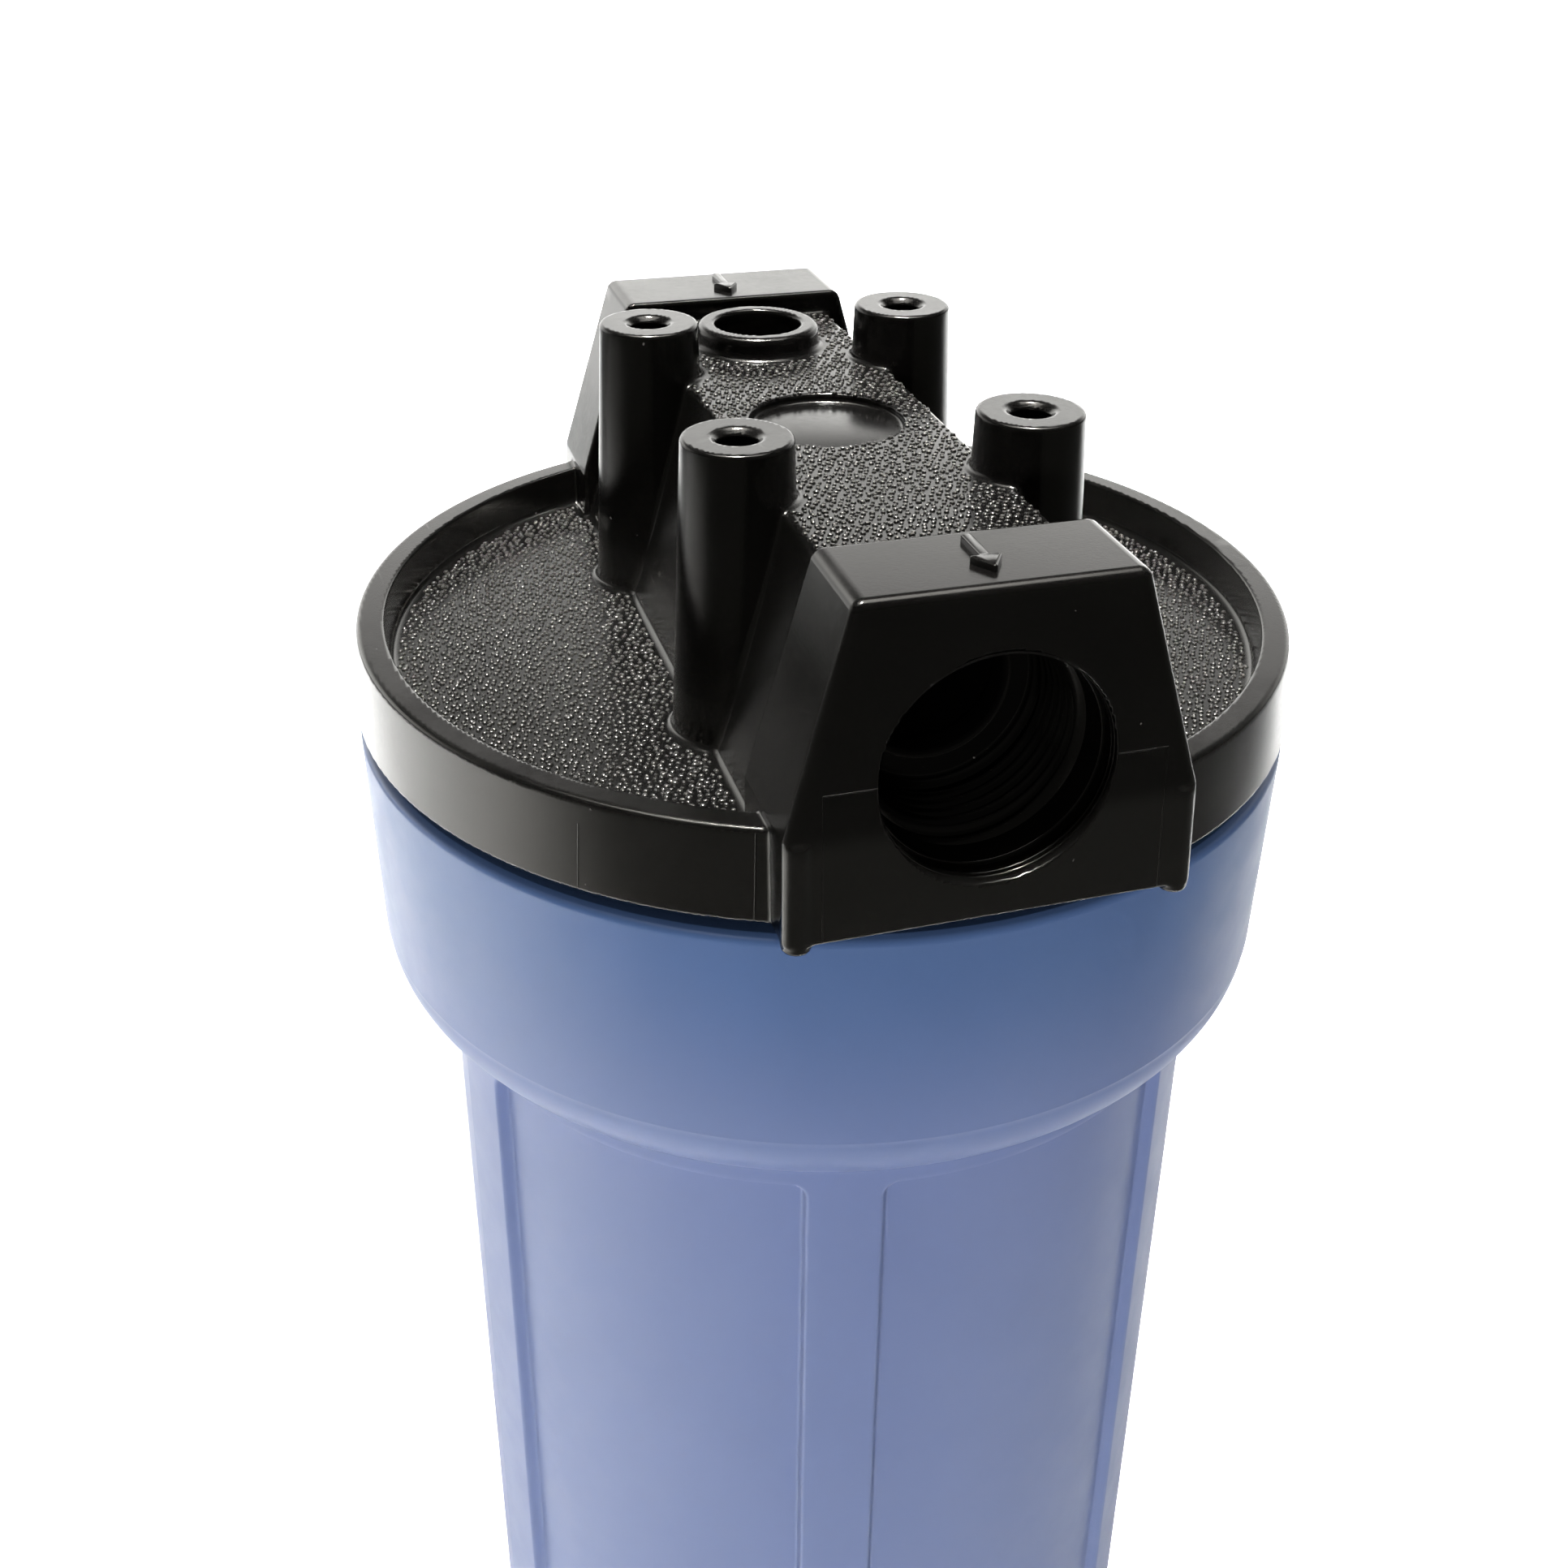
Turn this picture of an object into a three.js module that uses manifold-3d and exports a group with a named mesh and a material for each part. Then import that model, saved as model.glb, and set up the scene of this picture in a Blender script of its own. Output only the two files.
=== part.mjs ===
// Cartridge filter housing: a moulded cap with two pipe ports, a screw-on sump,
// a pressure relief valve and a pleated drop-in cartridge.
// Units are millimetres. +Z is up. The origin is the centre of the sump's flat base ring.

import * as THREE from 'three';
import { mergeVertices } from 'three/addons/utils/BufferGeometryUtils.js';
import Module from 'manifold-3d';

const wasm = await Module();
wasm.setup();

// ---------------------------------------------------------------- driving dimensions

const GAP = 0.3;                    // clearance kept between pieces that touch
const ROUND = 40;                   // facets round a large turned piece
const SMALL_ROUND = 24;             // facets round a small turned piece

// cap, heights measured from the base ring
const RIM_Z = 279.5;                // top of the cap's rim
const RIM_R = 61;                   // outside of the rim at its top
const RIM_WALL = 3.5;               // width of the rim's flat top
const FLOOR_Z = RIM_Z - 5.5;        // recessed disc inside the rim
const PLATE_Z = RIM_Z - 11.3;       // underside of the cap's plate, and the skirt's lower edge
const SKIRT_R = 61.8;               // outside of the skirt at its lower edge

// ridge and port blocks across the cap, along Y
const RIDGE_TOP = RIM_Z + 24;
const RIDGE_HALF = 14.2;            // half width of the ridge's top
const BLOCK_TOP = RIM_Z + 27.2;
const BLOCK_HALF = 16.2;            // half width of a block's top
const SIDE_SLOPE = 0.2824;          // sideways growth of both per millimetre downwards
const BLOCK_WIDEST_Z = RIM_Z + 1;   // the sides are upright below this height
const BLOCK_START_Y = 46;           // inner end of a block
const BLOCK_END_Y = 60.5;           // face of a block at its top
const FACE_DRAFT = 0.0466;          // how far the face leans out per millimetre downwards
const COLUMN_R = 1.7;               // rounded column on each lower corner of a face
const COLUMN_X = 21.9;
const COLUMN_Y = 60.9;
const COLUMN_DROP = 0.9;            // how far a column reaches below the face

// pipe ports, 3/4 inch size
const PORT_Z = RIM_Z + 6.3;
const PORT_MOUTH_R = 13.4;
const PORT_MOUTH_DEPTH = 4.5;
const PORT_MINOR_R = 12.05;
const PORT_MAJOR_R = 13.2;
const PORT_PITCH = 1.814;
const PORT_GROOVES = 7;
const PORT_ROUND = 20;              // facets round a port
const PORT_DEPTH = 21;              // from the face to the end of the threaded bore
const PASSAGE_R = 9;

// four posts for the bracket screws
const POST_X = 18.1;
const POST_Y = 23;
const POST_R = 6.6;                 // at the top; the posts widen downwards for mould draft
const POST_FOOT_R = 7.9;
const POST_TOP = RIM_Z + 31.5;
const SCREW_HOLE_R = 2.4;
const SCREW_HOLE_DEPTH = 20;
const SCREW_MOUTH_R = 3.1;

// centre recess on the ridge
const RECESS_R = 10;
const RECESS_DEPTH = 1.2;

// relief valve, on the inlet side
const VALVE_Y = 33.2;
const BOSS_R = 8.65;
const VALVE_BORE_R = 6.1;
const VALVE_BORE_FLOOR = RIM_Z + 17.3;
const STEM_R = 1.9;
const STEM_HOLE_R = 2.3;
const SEAT_Z = RIM_Z + 15.6;        // flat seat in the roof of the inlet passage
const SEAT_R = 4.6;
const VALVE_RING_WIRE_R = 0.8;
const VALVE_RING_R = 3.1;
const BUTTON_R = 5.6;
const BUTTON_TOP = BLOCK_TOP - 4.4; // sunk in the boss, so that it can't be pressed by accident
const BUTTON_THICK = 1.3;
const BUTTON_CROWN = 0.9;           // plastic left above the stem's socket
const HUB_R = 3.3;
const HUB_END = RIM_Z + 20.2;
const SPRING_R = 4.6;
const SPRING_WIRE_R = 0.27;
const SPRING_TURNS = 2;

// spigot under the cap, with the male thread and the O-ring groove
const SPIGOT_INNER_R = 44.8;
const SPIGOT_END_Z = RIM_Z - 43.5;
const NOSE_R = 50.9;
const NOSE_TOP_Z = RIM_Z - 31.5;
const MALE_ROOT_R = 52.3;
const MALE_CREST_R = 54.5;
const GROOVE_R = 47.8;
const GROOVE_Z = RIM_Z - 37.5;
const GROOVE_HALF = 2.1;
const RING_WIRE_R = 1.5;

// sump thread
const THREAD_PITCH = 6;
const THREAD_TOP_Z = RIM_Z - 15.5;
const THREAD_TURNS = 2.2;
const FEMALE_ROOT_R = 54.9;
const FEMALE_CREST_R = 52.9;

// standpipe and knife edge under the cap, down into the cartridge
const STANDPIPE_R = 13.2;
const STANDPIPE_END_Z = RIM_Z - 29.5;
const KNIFE_R = 18;
const KNIFE_HALF = 1.6;
const CAP_KNIFE_Z = RIM_Z - 19.3;
const INLET_DROP_Y = 38.5;          // vertical hole from the inlet passage to the outer water space
const INLET_DROP_R = 5.8;

// sump
const COLLAR_TOP_Z = RIM_Z - 13.4;
const COLLAR_TOP_R = 61.6;
const COLLAR_CREASE_R = 60.4;
const COLLAR_CREASE_Z = RIM_Z - 42.1;
const COLLAR_ROUND_R = 9;           // rounding below the crease
const BODY_TOP_Z = RIM_Z - 54.5;    // where the collar's underside meets the body
const BODY_TOP_R = 52.1;
const BODY_DRAFT = 0.0131;          // inward lean per millimetre downwards
const WALL = 4.6;
const LAND_R = 51.45;               // smooth bore that the O-ring seals on
const LAND_TOP_Z = RIM_Z - 32.2;
const LAND_END_Z = RIM_Z - 46.5;
const FLOOR_THICK = 6;
const BASE_ROUND_R = 8;
const BASE_RING_INNER_R = 30;
const BASE_DISH = 2;
const SUMP_KNIFE_Z = 11.7;
const LOCATOR_R = 12.6;
const LOCATOR_TOP_Z = 24;

// ribs on the sump
const RIB_COUNT = 6;
const RIB_START_DEG = -103.5;
const RIB_FACE_HALF = 4.2;
const RIB_FOOT_HALF = 5.4;
const RIB_PROUD = 1.5;
const RIB_END_Z = 9;

// cartridge
const CARTRIDGE_BOTTOM_Z = SUMP_KNIFE_Z + GAP;
const CARTRIDGE_TOP_Z = CAP_KNIFE_Z - GAP;
const GASKET_THICK = 3;
const GASKET_OUTER_R = 22;
const END_CAP_THICK = 4;
const END_CAP_SKIRT = 8;
const END_CAP_R = 32.3;
const CARTRIDGE_BORE_R = 14.3;
const CORE_OUTER_R = 16.2;
const CORE_ROWS = 8;
const CORE_HOLES_ROUND = 6;
const PLEATS = 40;
const PLEAT_INNER_R = 16.6;
const PLEAT_OUTER_R = 29.5;
const MEDIA_THICK = 0.6;
const NET_INNER_R = 29.9;
const NET_OUTER_R = 30.5;

// ---------------------------------------------------------------- materials

const blackPlastic = new THREE.MeshStandardMaterial({ color: 0x141313, roughness: 0.42, metalness: 0 });
const bluePlastic = new THREE.MeshStandardMaterial({ color: 0x4a66a8, roughness: 0.38, metalness: 0 });
const blackRubber = new THREE.MeshStandardMaterial({ color: 0x0e0e0e, roughness: 0.7, metalness: 0 });
const springSteel = new THREE.MeshStandardMaterial({ color: 0xb8bcc0, roughness: 0.3, metalness: 1 });
const whitePlastic = new THREE.MeshStandardMaterial({ color: 0xe6e7e4, roughness: 0.5, metalness: 0 });
const filterMedia = new THREE.MeshStandardMaterial({ color: 0xf1efe6, roughness: 0.9, metalness: 0 });
const netPlastic = new THREE.MeshStandardMaterial({ color: 0xdfe5ea, roughness: 0.6, metalness: 0 });

// ---------------------------------------------------------------- solids

// Turns a closed three.js geometry into a manifold solid.
function solid(geometry) {
  const bare = geometry.index ? geometry.toNonIndexed() : geometry.clone();
  bare.deleteAttribute('normal');
  bare.deleteAttribute('uv');
  const merged = mergeVertices(bare, 1e-3);
  const triangles = [];
  const index = merged.index.array;
  for (let i = 0; i < index.length; i += 3) {
    const [a, b, c] = [index[i], index[i + 1], index[i + 2]];
    if (a !== b && b !== c && c !== a) {
      triangles.push(a, b, c);
    }
  }
  return new wasm.Manifold(new wasm.Mesh({
    numProp: 3,
    vertProperties: new Float32Array(merged.attributes.position.array),
    triVerts: new Uint32Array(triangles),
  }));
}

// Turns a manifold solid back into a named three.js mesh.
function piece(name, body, material) {
  const result = body.getMesh();
  const geometry = new THREE.BufferGeometry();
  geometry.setAttribute('position', new THREE.BufferAttribute(result.vertProperties, 3));
  geometry.setIndex(new THREE.BufferAttribute(result.triVerts, 1));
  const mesh = new THREE.Mesh(geometry, material);
  mesh.name = name;
  return mesh;
}

// A solid of revolution about Z from [radius, height] points, which start and end on the
// axis or close on themselves.
function turned(points, facets = ROUND) {
  const profile = points.map(([r, z]) => new THREE.Vector2(r, z));
  if (THREE.ShapeUtils.area(profile) < 0) {
    profile.reverse();
  }
  const onAxis = profile[0].x === 0 && profile[profile.length - 1].x === 0;
  if (!onAxis) {
    profile.push(profile[0].clone());
  }
  const geometry = new THREE.LatheGeometry(profile, facets);
  geometry.rotateX(Math.PI / 2);
  return solid(geometry);
}

// An upright cylinder between two heights.
function cylinder(radius, low, high, x = 0, y = 0, facets = SMALL_ROUND, topRadius = radius) {
  const geometry = new THREE.CylinderGeometry(topRadius, radius, high - low, facets);
  geometry.rotateX(Math.PI / 2);
  geometry.translate(x, y, (low + high) / 2);
  return solid(geometry);
}

// A cylinder along Y between two places.
function crossCylinder(radius, start, end, x, z, facets = PORT_ROUND) {
  const geometry = new THREE.CylinderGeometry(radius, radius, end - start, facets);
  geometry.translate(x, (start + end) / 2, z);
  return solid(geometry);
}

// A tube about Z.
function tube(inner, outer, low, high, facets = ROUND) {
  return turned([[inner, low], [outer, low], [outer, high], [inner, high]], facets);
}

// Points on an arc in the radius-height plane, angles in degrees.
function arc(centreR, centreZ, radius, startDeg, endDeg, steps) {
  const points = [];
  for (let i = 0; i <= steps; i += 1) {
    const angle = THREE.MathUtils.degToRad(startDeg + (endDeg - startDeg) * i / steps);
    points.push([centreR + radius * Math.cos(angle), centreZ + radius * Math.sin(angle)]);
  }
  return points;
}

// A right-hand helical bar about Z. The section is [radius, height] points about the bar's
// centre line, which starts at topZ on the +X side and winds downwards.
function helicalBar(section, topZ, pitch, turns, stepsPerTurn) {
  const shape = new THREE.Shape(section.map(([r, h]) => new THREE.Vector2(r, h)));
  const sweep = turns * 2 * Math.PI;
  const steps = Math.round(turns * stepsPerTurn);
  const geometry = new THREE.ExtrudeGeometry(shape, { depth: sweep, steps, bevelEnabled: false });
  const position = geometry.attributes.position;
  for (let i = 0; i < position.count; i += 1) {
    const radius = position.getX(i);
    const height = position.getY(i);
    const angle = -position.getZ(i);
    position.setXYZ(
      i,
      radius * Math.cos(angle),
      radius * Math.sin(angle),
      topZ + height + pitch * angle / (2 * Math.PI),
    );
  }
  return solid(geometry);
}

// An outline in the XZ plane carried along Y from start to end.
function alongY(outline, start, end) {
  const shape = new THREE.Shape(outline.map(([x, z]) => new THREE.Vector2(x, z)));
  const geometry = new THREE.ExtrudeGeometry(shape, { depth: end - start, bevelEnabled: false });
  geometry.rotateX(Math.PI / 2);
  geometry.translate(0, end, 0);
  return geometry;
}

// ---------------------------------------------------------------- cap

// Half width of a sloping side at a height, from its half width at its top.
function halfWidth(topHalf, topZ, z) {
  return topHalf + (topZ - z) * SIDE_SLOPE;
}

function capDisc() {
  return turned([
    [0, PLATE_Z],
    [SPIGOT_INNER_R, PLATE_Z],
    [SPIGOT_INNER_R, SPIGOT_END_Z],
    [NOSE_R - 1, SPIGOT_END_Z],
    [NOSE_R, SPIGOT_END_Z + 1],
    [NOSE_R, GROOVE_Z - GROOVE_HALF],
    [GROOVE_R, GROOVE_Z - GROOVE_HALF],
    [GROOVE_R, GROOVE_Z + GROOVE_HALF],
    [NOSE_R, GROOVE_Z + GROOVE_HALF],
    [NOSE_R, NOSE_TOP_Z],
    [MALE_ROOT_R, NOSE_TOP_Z],
    [MALE_ROOT_R, PLATE_Z],
    [SKIRT_R, PLATE_Z],
    [RIM_R, RIM_Z - 0.8],
    [RIM_R - 0.8, RIM_Z],
    [RIM_R - RIM_WALL, RIM_Z],
    [RIM_R - RIM_WALL - 0.5, FLOOR_Z],
    [0, FLOOR_Z],
  ]);
}

function maleThread() {
  return helicalBar(
    [[MALE_ROOT_R - 1, -1.9], [MALE_CREST_R, -0.8], [MALE_CREST_R, 0.8], [MALE_ROOT_R - 1, 1.9]],
    THREAD_TOP_Z, THREAD_PITCH, THREAD_TURNS, ROUND,
  );
}

function ridge() {
  const footZ = FLOOR_Z - 1;
  const foot = halfWidth(RIDGE_HALF, RIDGE_TOP, footZ);
  const outline = [[-foot, footZ], [foot, footZ], [RIDGE_HALF, RIDGE_TOP], [-RIDGE_HALF, RIDGE_TOP]];
  return solid(alongY(outline, -BLOCK_START_Y - 1, BLOCK_START_Y + 1));
}

// The block at the +Y end. Its outer face leans out towards the bottom.
function portBlock() {
  const widest = halfWidth(BLOCK_HALF, BLOCK_TOP, BLOCK_WIDEST_Z);
  const outline = [
    [-widest, PLATE_Z],
    [widest, PLATE_Z],
    [widest, BLOCK_WIDEST_Z],
    [BLOCK_HALF, BLOCK_TOP],
    [-BLOCK_HALF, BLOCK_TOP],
    [-widest, BLOCK_WIDEST_Z],
  ];
  const geometry = alongY(outline, BLOCK_START_Y, BLOCK_END_Y);
  const position = geometry.attributes.position;
  const middleY = (BLOCK_START_Y + BLOCK_END_Y) / 2;
  for (let i = 0; i < position.count; i += 1) {
    if (position.getY(i) > middleY) {
      position.setY(i, BLOCK_END_Y + (BLOCK_TOP - position.getZ(i)) * FACE_DRAFT);
    }
  }
  const columnLow = PLATE_Z - COLUMN_DROP;
  return solid(geometry)
    .add(cylinder(COLUMN_R, columnLow, BLOCK_WIDEST_Z, -COLUMN_X, COLUMN_Y, 12, COLUMN_R * 0.8))
    .add(cylinder(COLUMN_R, columnLow, BLOCK_WIDEST_Z, COLUMN_X, COLUMN_Y, 12, COLUMN_R * 0.8));
}

// Everything cut out for the port at the +Y end: a plain mouth, then a bore with one V groove
// for each turn of the pipe thread.
function portCut() {
  const faceY = BLOCK_END_Y + (BLOCK_TOP - PORT_Z) * FACE_DRAFT;
  const threadStart = faceY - PORT_MOUTH_DEPTH;
  const points = [[0, faceY + 5], [PORT_MOUTH_R, faceY + 5], [PORT_MOUTH_R, threadStart]];
  for (let i = 0; i < PORT_GROOVES; i += 1) {
    const grooveY = threadStart - PORT_PITCH * (i + 0.5);
    points.push([PORT_MINOR_R, grooveY + PORT_PITCH / 2]);
    points.push([PORT_MAJOR_R, grooveY]);
  }
  points.push([PORT_MINOR_R, threadStart - PORT_PITCH * PORT_GROOVES]);
  points.push([PORT_MINOR_R, faceY - PORT_DEPTH]);
  points.push([0, faceY - PORT_DEPTH]);
  return turned(points, PORT_ROUND).rotate([-90, 0, 0]).translate([0, 0, PORT_Z]);
}

function post(x, y) {
  return cylinder(POST_FOOT_R, FLOOR_Z - 1, POST_TOP, x, y, SMALL_ROUND, POST_R);
}

function screwHole(x, y) {
  const chamferZ = POST_TOP - (SCREW_MOUTH_R - SCREW_HOLE_R);
  return cylinder(SCREW_HOLE_R, POST_TOP - SCREW_HOLE_DEPTH, POST_TOP + 1, x, y, 16)
    .add(cylinder(SCREW_HOLE_R, chamferZ, POST_TOP + 0.01, x, y, 16, SCREW_MOUTH_R));
}

function standpipe() {
  const knife = turned([
    [KNIFE_R - KNIFE_HALF, PLATE_Z + 1],
    [KNIFE_R - 0.3, CAP_KNIFE_Z],
    [KNIFE_R + 0.3, CAP_KNIFE_Z],
    [KNIFE_R + KNIFE_HALF, PLATE_Z + 1],
  ], SMALL_ROUND);
  return cylinder(STANDPIPE_R, STANDPIPE_END_Z, PLATE_Z + 1).add(knife);
}

// Water passages: the outlet runs from the centre to -Y, the inlet from the outer water
// space to +Y.
function passages() {
  const portEnd = BLOCK_END_Y - PORT_DEPTH + 3;
  const outlet = crossCylinder(PASSAGE_R, -portEnd, 0, 0, PORT_Z)
    .add(cylinder(PASSAGE_R, STANDPIPE_END_Z - 1, PORT_Z));
  const inlet = crossCylinder(PASSAGE_R, VALVE_Y - 6.2, portEnd, 0, PORT_Z)
    .add(cylinder(INLET_DROP_R, PLATE_Z - 1, PORT_Z, 0, INLET_DROP_Y));
  return outlet.add(inlet);
}

function valveCut() {
  return cylinder(VALVE_BORE_R, VALVE_BORE_FLOOR, BLOCK_TOP + 1, 0, VALVE_Y)
    .add(cylinder(STEM_HOLE_R, PORT_Z, VALVE_BORE_FLOOR + 1, 0, VALVE_Y, 16))
    .add(cylinder(SEAT_R, PORT_Z, SEAT_Z, 0, VALVE_Y, 16));
}

function cap() {
  let body = capDisc().add(maleThread()).add(ridge()).add(standpipe());
  const cuts = [passages(), valveCut()];
  for (const turn of [0, 180]) {
    body = body.add(portBlock().rotate([0, 0, turn]));
    cuts.push(portCut().rotate([0, 0, turn]));
  }
  body = body.add(cylinder(BOSS_R, RIDGE_TOP - 1, BLOCK_TOP, 0, VALVE_Y));
  for (const x of [-POST_X, POST_X]) {
    for (const y of [-POST_Y, POST_Y]) {
      body = body.add(post(x, y));
      cuts.push(screwHole(x, y));
    }
  }
  cuts.push(cylinder(RECESS_R, RIDGE_TOP - RECESS_DEPTH, RIDGE_TOP + 1));
  for (const cut of cuts) {
    body = body.subtract(cut);
  }
  return piece('cap', body, blackPlastic);
}

function sumpRing() {
  const centreR = LAND_R - GAP - RING_WIRE_R;
  const profile = arc(centreR, GROOVE_Z, RING_WIRE_R, 0, 360, 6).slice(0, -1);
  return piece('sump_o_ring', turned(profile), blackRubber);
}

// ---------------------------------------------------------------- relief valve

function reliefButton() {
  const headBottom = BUTTON_TOP - BUTTON_THICK;
  const socketTop = BUTTON_TOP - BUTTON_CROWN;
  const socketR = STEM_R + GAP;
  return piece('relief_button', turned([
    [0, socketTop],
    [socketR, socketTop],
    [socketR, HUB_END],
    [HUB_R, HUB_END],
    [HUB_R, headBottom],
    [BUTTON_R, headBottom],
    [BUTTON_R, BUTTON_TOP - 0.5],
    [BUTTON_R - 0.5, BUTTON_TOP],
    [BUTTON_R - 1.6, BUTTON_TOP],
    [0, BUTTON_TOP - 0.3],
  ], SMALL_ROUND).translate([0, VALVE_Y, 0]), blackPlastic);
}

function reliefStem() {
  const flangeTop = SEAT_Z - 2 * (GAP + VALVE_RING_WIRE_R);
  const stemTop = BUTTON_TOP - BUTTON_CROWN - GAP;
  return piece('relief_stem', turned([
    [0, flangeTop - 1.4],
    [VALVE_RING_R + 0.8, flangeTop - 1.4],
    [VALVE_RING_R + 0.8, flangeTop],
    [STEM_R, flangeTop],
    [STEM_R, stemTop],
    [0, stemTop],
  ], 16).translate([0, VALVE_Y, 0]), whitePlastic);
}

function reliefRing() {
  const centreZ = SEAT_Z - GAP - VALVE_RING_WIRE_R;
  const profile = arc(VALVE_RING_R, centreZ, VALVE_RING_WIRE_R, 0, 360, 8).slice(0, -1);
  return piece('relief_o_ring', turned(profile, 16).translate([0, VALVE_Y, 0]), blackRubber);
}

function reliefSpring() {
  const low = VALVE_BORE_FLOOR + GAP + SPRING_WIRE_R;
  const high = BUTTON_TOP - BUTTON_THICK - GAP - SPRING_WIRE_R;
  const section = arc(SPRING_R, 0, SPRING_WIRE_R, 0, 360, 6).slice(0, -1);
  const coil = helicalBar(section, high, (high - low) / SPRING_TURNS, SPRING_TURNS, 12);
  return piece('relief_spring', coil.translate([0, VALVE_Y, 0]), springSteel);
}

// ---------------------------------------------------------------- sump

// Outside radius of the sump's body between the ribs.
function bodyRadius(z) {
  return BODY_TOP_R - (BODY_TOP_Z - z) * BODY_DRAFT;
}

function sumpShell() {
  const roundCentreR = COLLAR_CREASE_R - COLLAR_ROUND_R;
  const baseCentreR = bodyRadius(BASE_ROUND_R) - BASE_ROUND_R;
  const floorRoundR = BASE_ROUND_R - 3;
  const floorCentreZ = FLOOR_THICK + floorRoundR;
  const floorCentreR = bodyRadius(floorCentreZ) - WALL - floorRoundR;
  return turned([
    [0, BASE_DISH],
    [BASE_RING_INNER_R - 1, BASE_DISH],
    [BASE_RING_INNER_R, 0],
    ...arc(baseCentreR, BASE_ROUND_R, BASE_ROUND_R, -90, 0, 4),
    [BODY_TOP_R, BODY_TOP_Z],
    [BODY_TOP_R + 1.5, BODY_TOP_Z + 1.6],
    ...arc(roundCentreR, COLLAR_CREASE_Z, COLLAR_ROUND_R, -60, 0, 4),
    [COLLAR_TOP_R, COLLAR_TOP_Z - 1],
    [COLLAR_TOP_R - 0.8, COLLAR_TOP_Z],
    [FEMALE_ROOT_R + 1, COLLAR_TOP_Z],
    [FEMALE_ROOT_R, COLLAR_TOP_Z - 1],
    [FEMALE_ROOT_R, LAND_TOP_Z],
    [LAND_R + 0.8, LAND_TOP_Z],
    [LAND_R, LAND_TOP_Z - 1.4],
    [LAND_R, LAND_END_Z],
    [BODY_TOP_R - WALL, BODY_TOP_Z],
    ...arc(floorCentreR, floorCentreZ, floorRoundR, 0, -90, 3),
    [0, FLOOR_THICK],
  ]);
}

// One rib on the +X side, before it is turned to its place.
function rib() {
  const foot = BODY_TOP_R - WALL / 2;
  const face = BODY_TOP_R + RIB_PROUD;
  const shape = new THREE.Shape([
    new THREE.Vector2(foot, -RIB_FOOT_HALF - 1),
    new THREE.Vector2(BODY_TOP_R - 0.2, -RIB_FOOT_HALF),
    new THREE.Vector2(face, -RIB_FACE_HALF),
    new THREE.Vector2(face, RIB_FACE_HALF),
    new THREE.Vector2(BODY_TOP_R - 0.2, RIB_FOOT_HALF),
    new THREE.Vector2(foot, RIB_FOOT_HALF + 1),
  ]);
  const top = BODY_TOP_Z + 1.5;
  const geometry = new THREE.ExtrudeGeometry(shape, { depth: top - RIB_END_Z, bevelEnabled: false });
  geometry.translate(0, 0, RIB_END_Z);
  const position = geometry.attributes.position;
  for (let i = 0; i < position.count; i += 1) {
    const lean = (BODY_TOP_Z - position.getZ(i)) * BODY_DRAFT;
    position.setX(i, position.getX(i) - lean);
  }
  return solid(geometry);
}

function femaleThread() {
  return helicalBar(
    [[FEMALE_ROOT_R + 1, -1.9], [FEMALE_ROOT_R + 1, 1.9], [FEMALE_CREST_R, 0.7], [FEMALE_CREST_R, -0.7]],
    THREAD_TOP_Z, THREAD_PITCH, THREAD_TURNS, ROUND,
  ).rotate([0, 0, 180]);
}

// Locating post and knife edge on the sump's floor, under the cartridge.
function sumpSeat() {
  const knife = turned([
    [KNIFE_R - KNIFE_HALF, FLOOR_THICK - 1],
    [KNIFE_R + KNIFE_HALF, FLOOR_THICK - 1],
    [KNIFE_R + 0.3, SUMP_KNIFE_Z],
    [KNIFE_R - 0.3, SUMP_KNIFE_Z],
  ], SMALL_ROUND);
  const locator = cylinder(LOCATOR_R, FLOOR_THICK - 1, LOCATOR_TOP_Z, 0, 0, SMALL_ROUND, LOCATOR_R - 1.2);
  return locator.add(knife);
}

function sump() {
  let body = sumpShell().add(femaleThread()).add(sumpSeat());
  for (let i = 0; i < RIB_COUNT; i += 1) {
    body = body.add(rib().rotate([0, 0, RIB_START_DEG + i * 360 / RIB_COUNT]));
  }
  return piece('sump', body, bluePlastic);
}

// ---------------------------------------------------------------- cartridge

const INNER_LOW = CARTRIDGE_BOTTOM_Z + GASKET_THICK + END_CAP_THICK + 2 * GAP;
const INNER_HIGH = CARTRIDGE_TOP_Z - GASKET_THICK - END_CAP_THICK - 2 * GAP;

function gasket(name, low) {
  return piece(name, tube(CARTRIDGE_BORE_R, GASKET_OUTER_R, low, low + GASKET_THICK, SMALL_ROUND), blackRubber);
}

// A ring-shaped end cap whose skirt wraps the end of the pleats, written for the bottom.
function endCap(name, mirrored) {
  const low = CARTRIDGE_BOTTOM_Z + GASKET_THICK + GAP;
  const skirtTop = low + END_CAP_SKIRT;
  let profile = [
    [CARTRIDGE_BORE_R, low],
    [END_CAP_R - 1, low],
    [END_CAP_R, low + 1],
    [END_CAP_R, skirtTop],
    [NET_OUTER_R + GAP, skirtTop],
    [NET_OUTER_R + GAP, low + END_CAP_THICK],
    [CARTRIDGE_BORE_R, low + END_CAP_THICK],
  ];
  if (mirrored) {
    profile = profile.map(([r, z]) => [r, CARTRIDGE_TOP_Z + CARTRIDGE_BOTTOM_Z - z]);
  }
  return piece(name, turned(profile, 32), whitePlastic);
}

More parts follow.
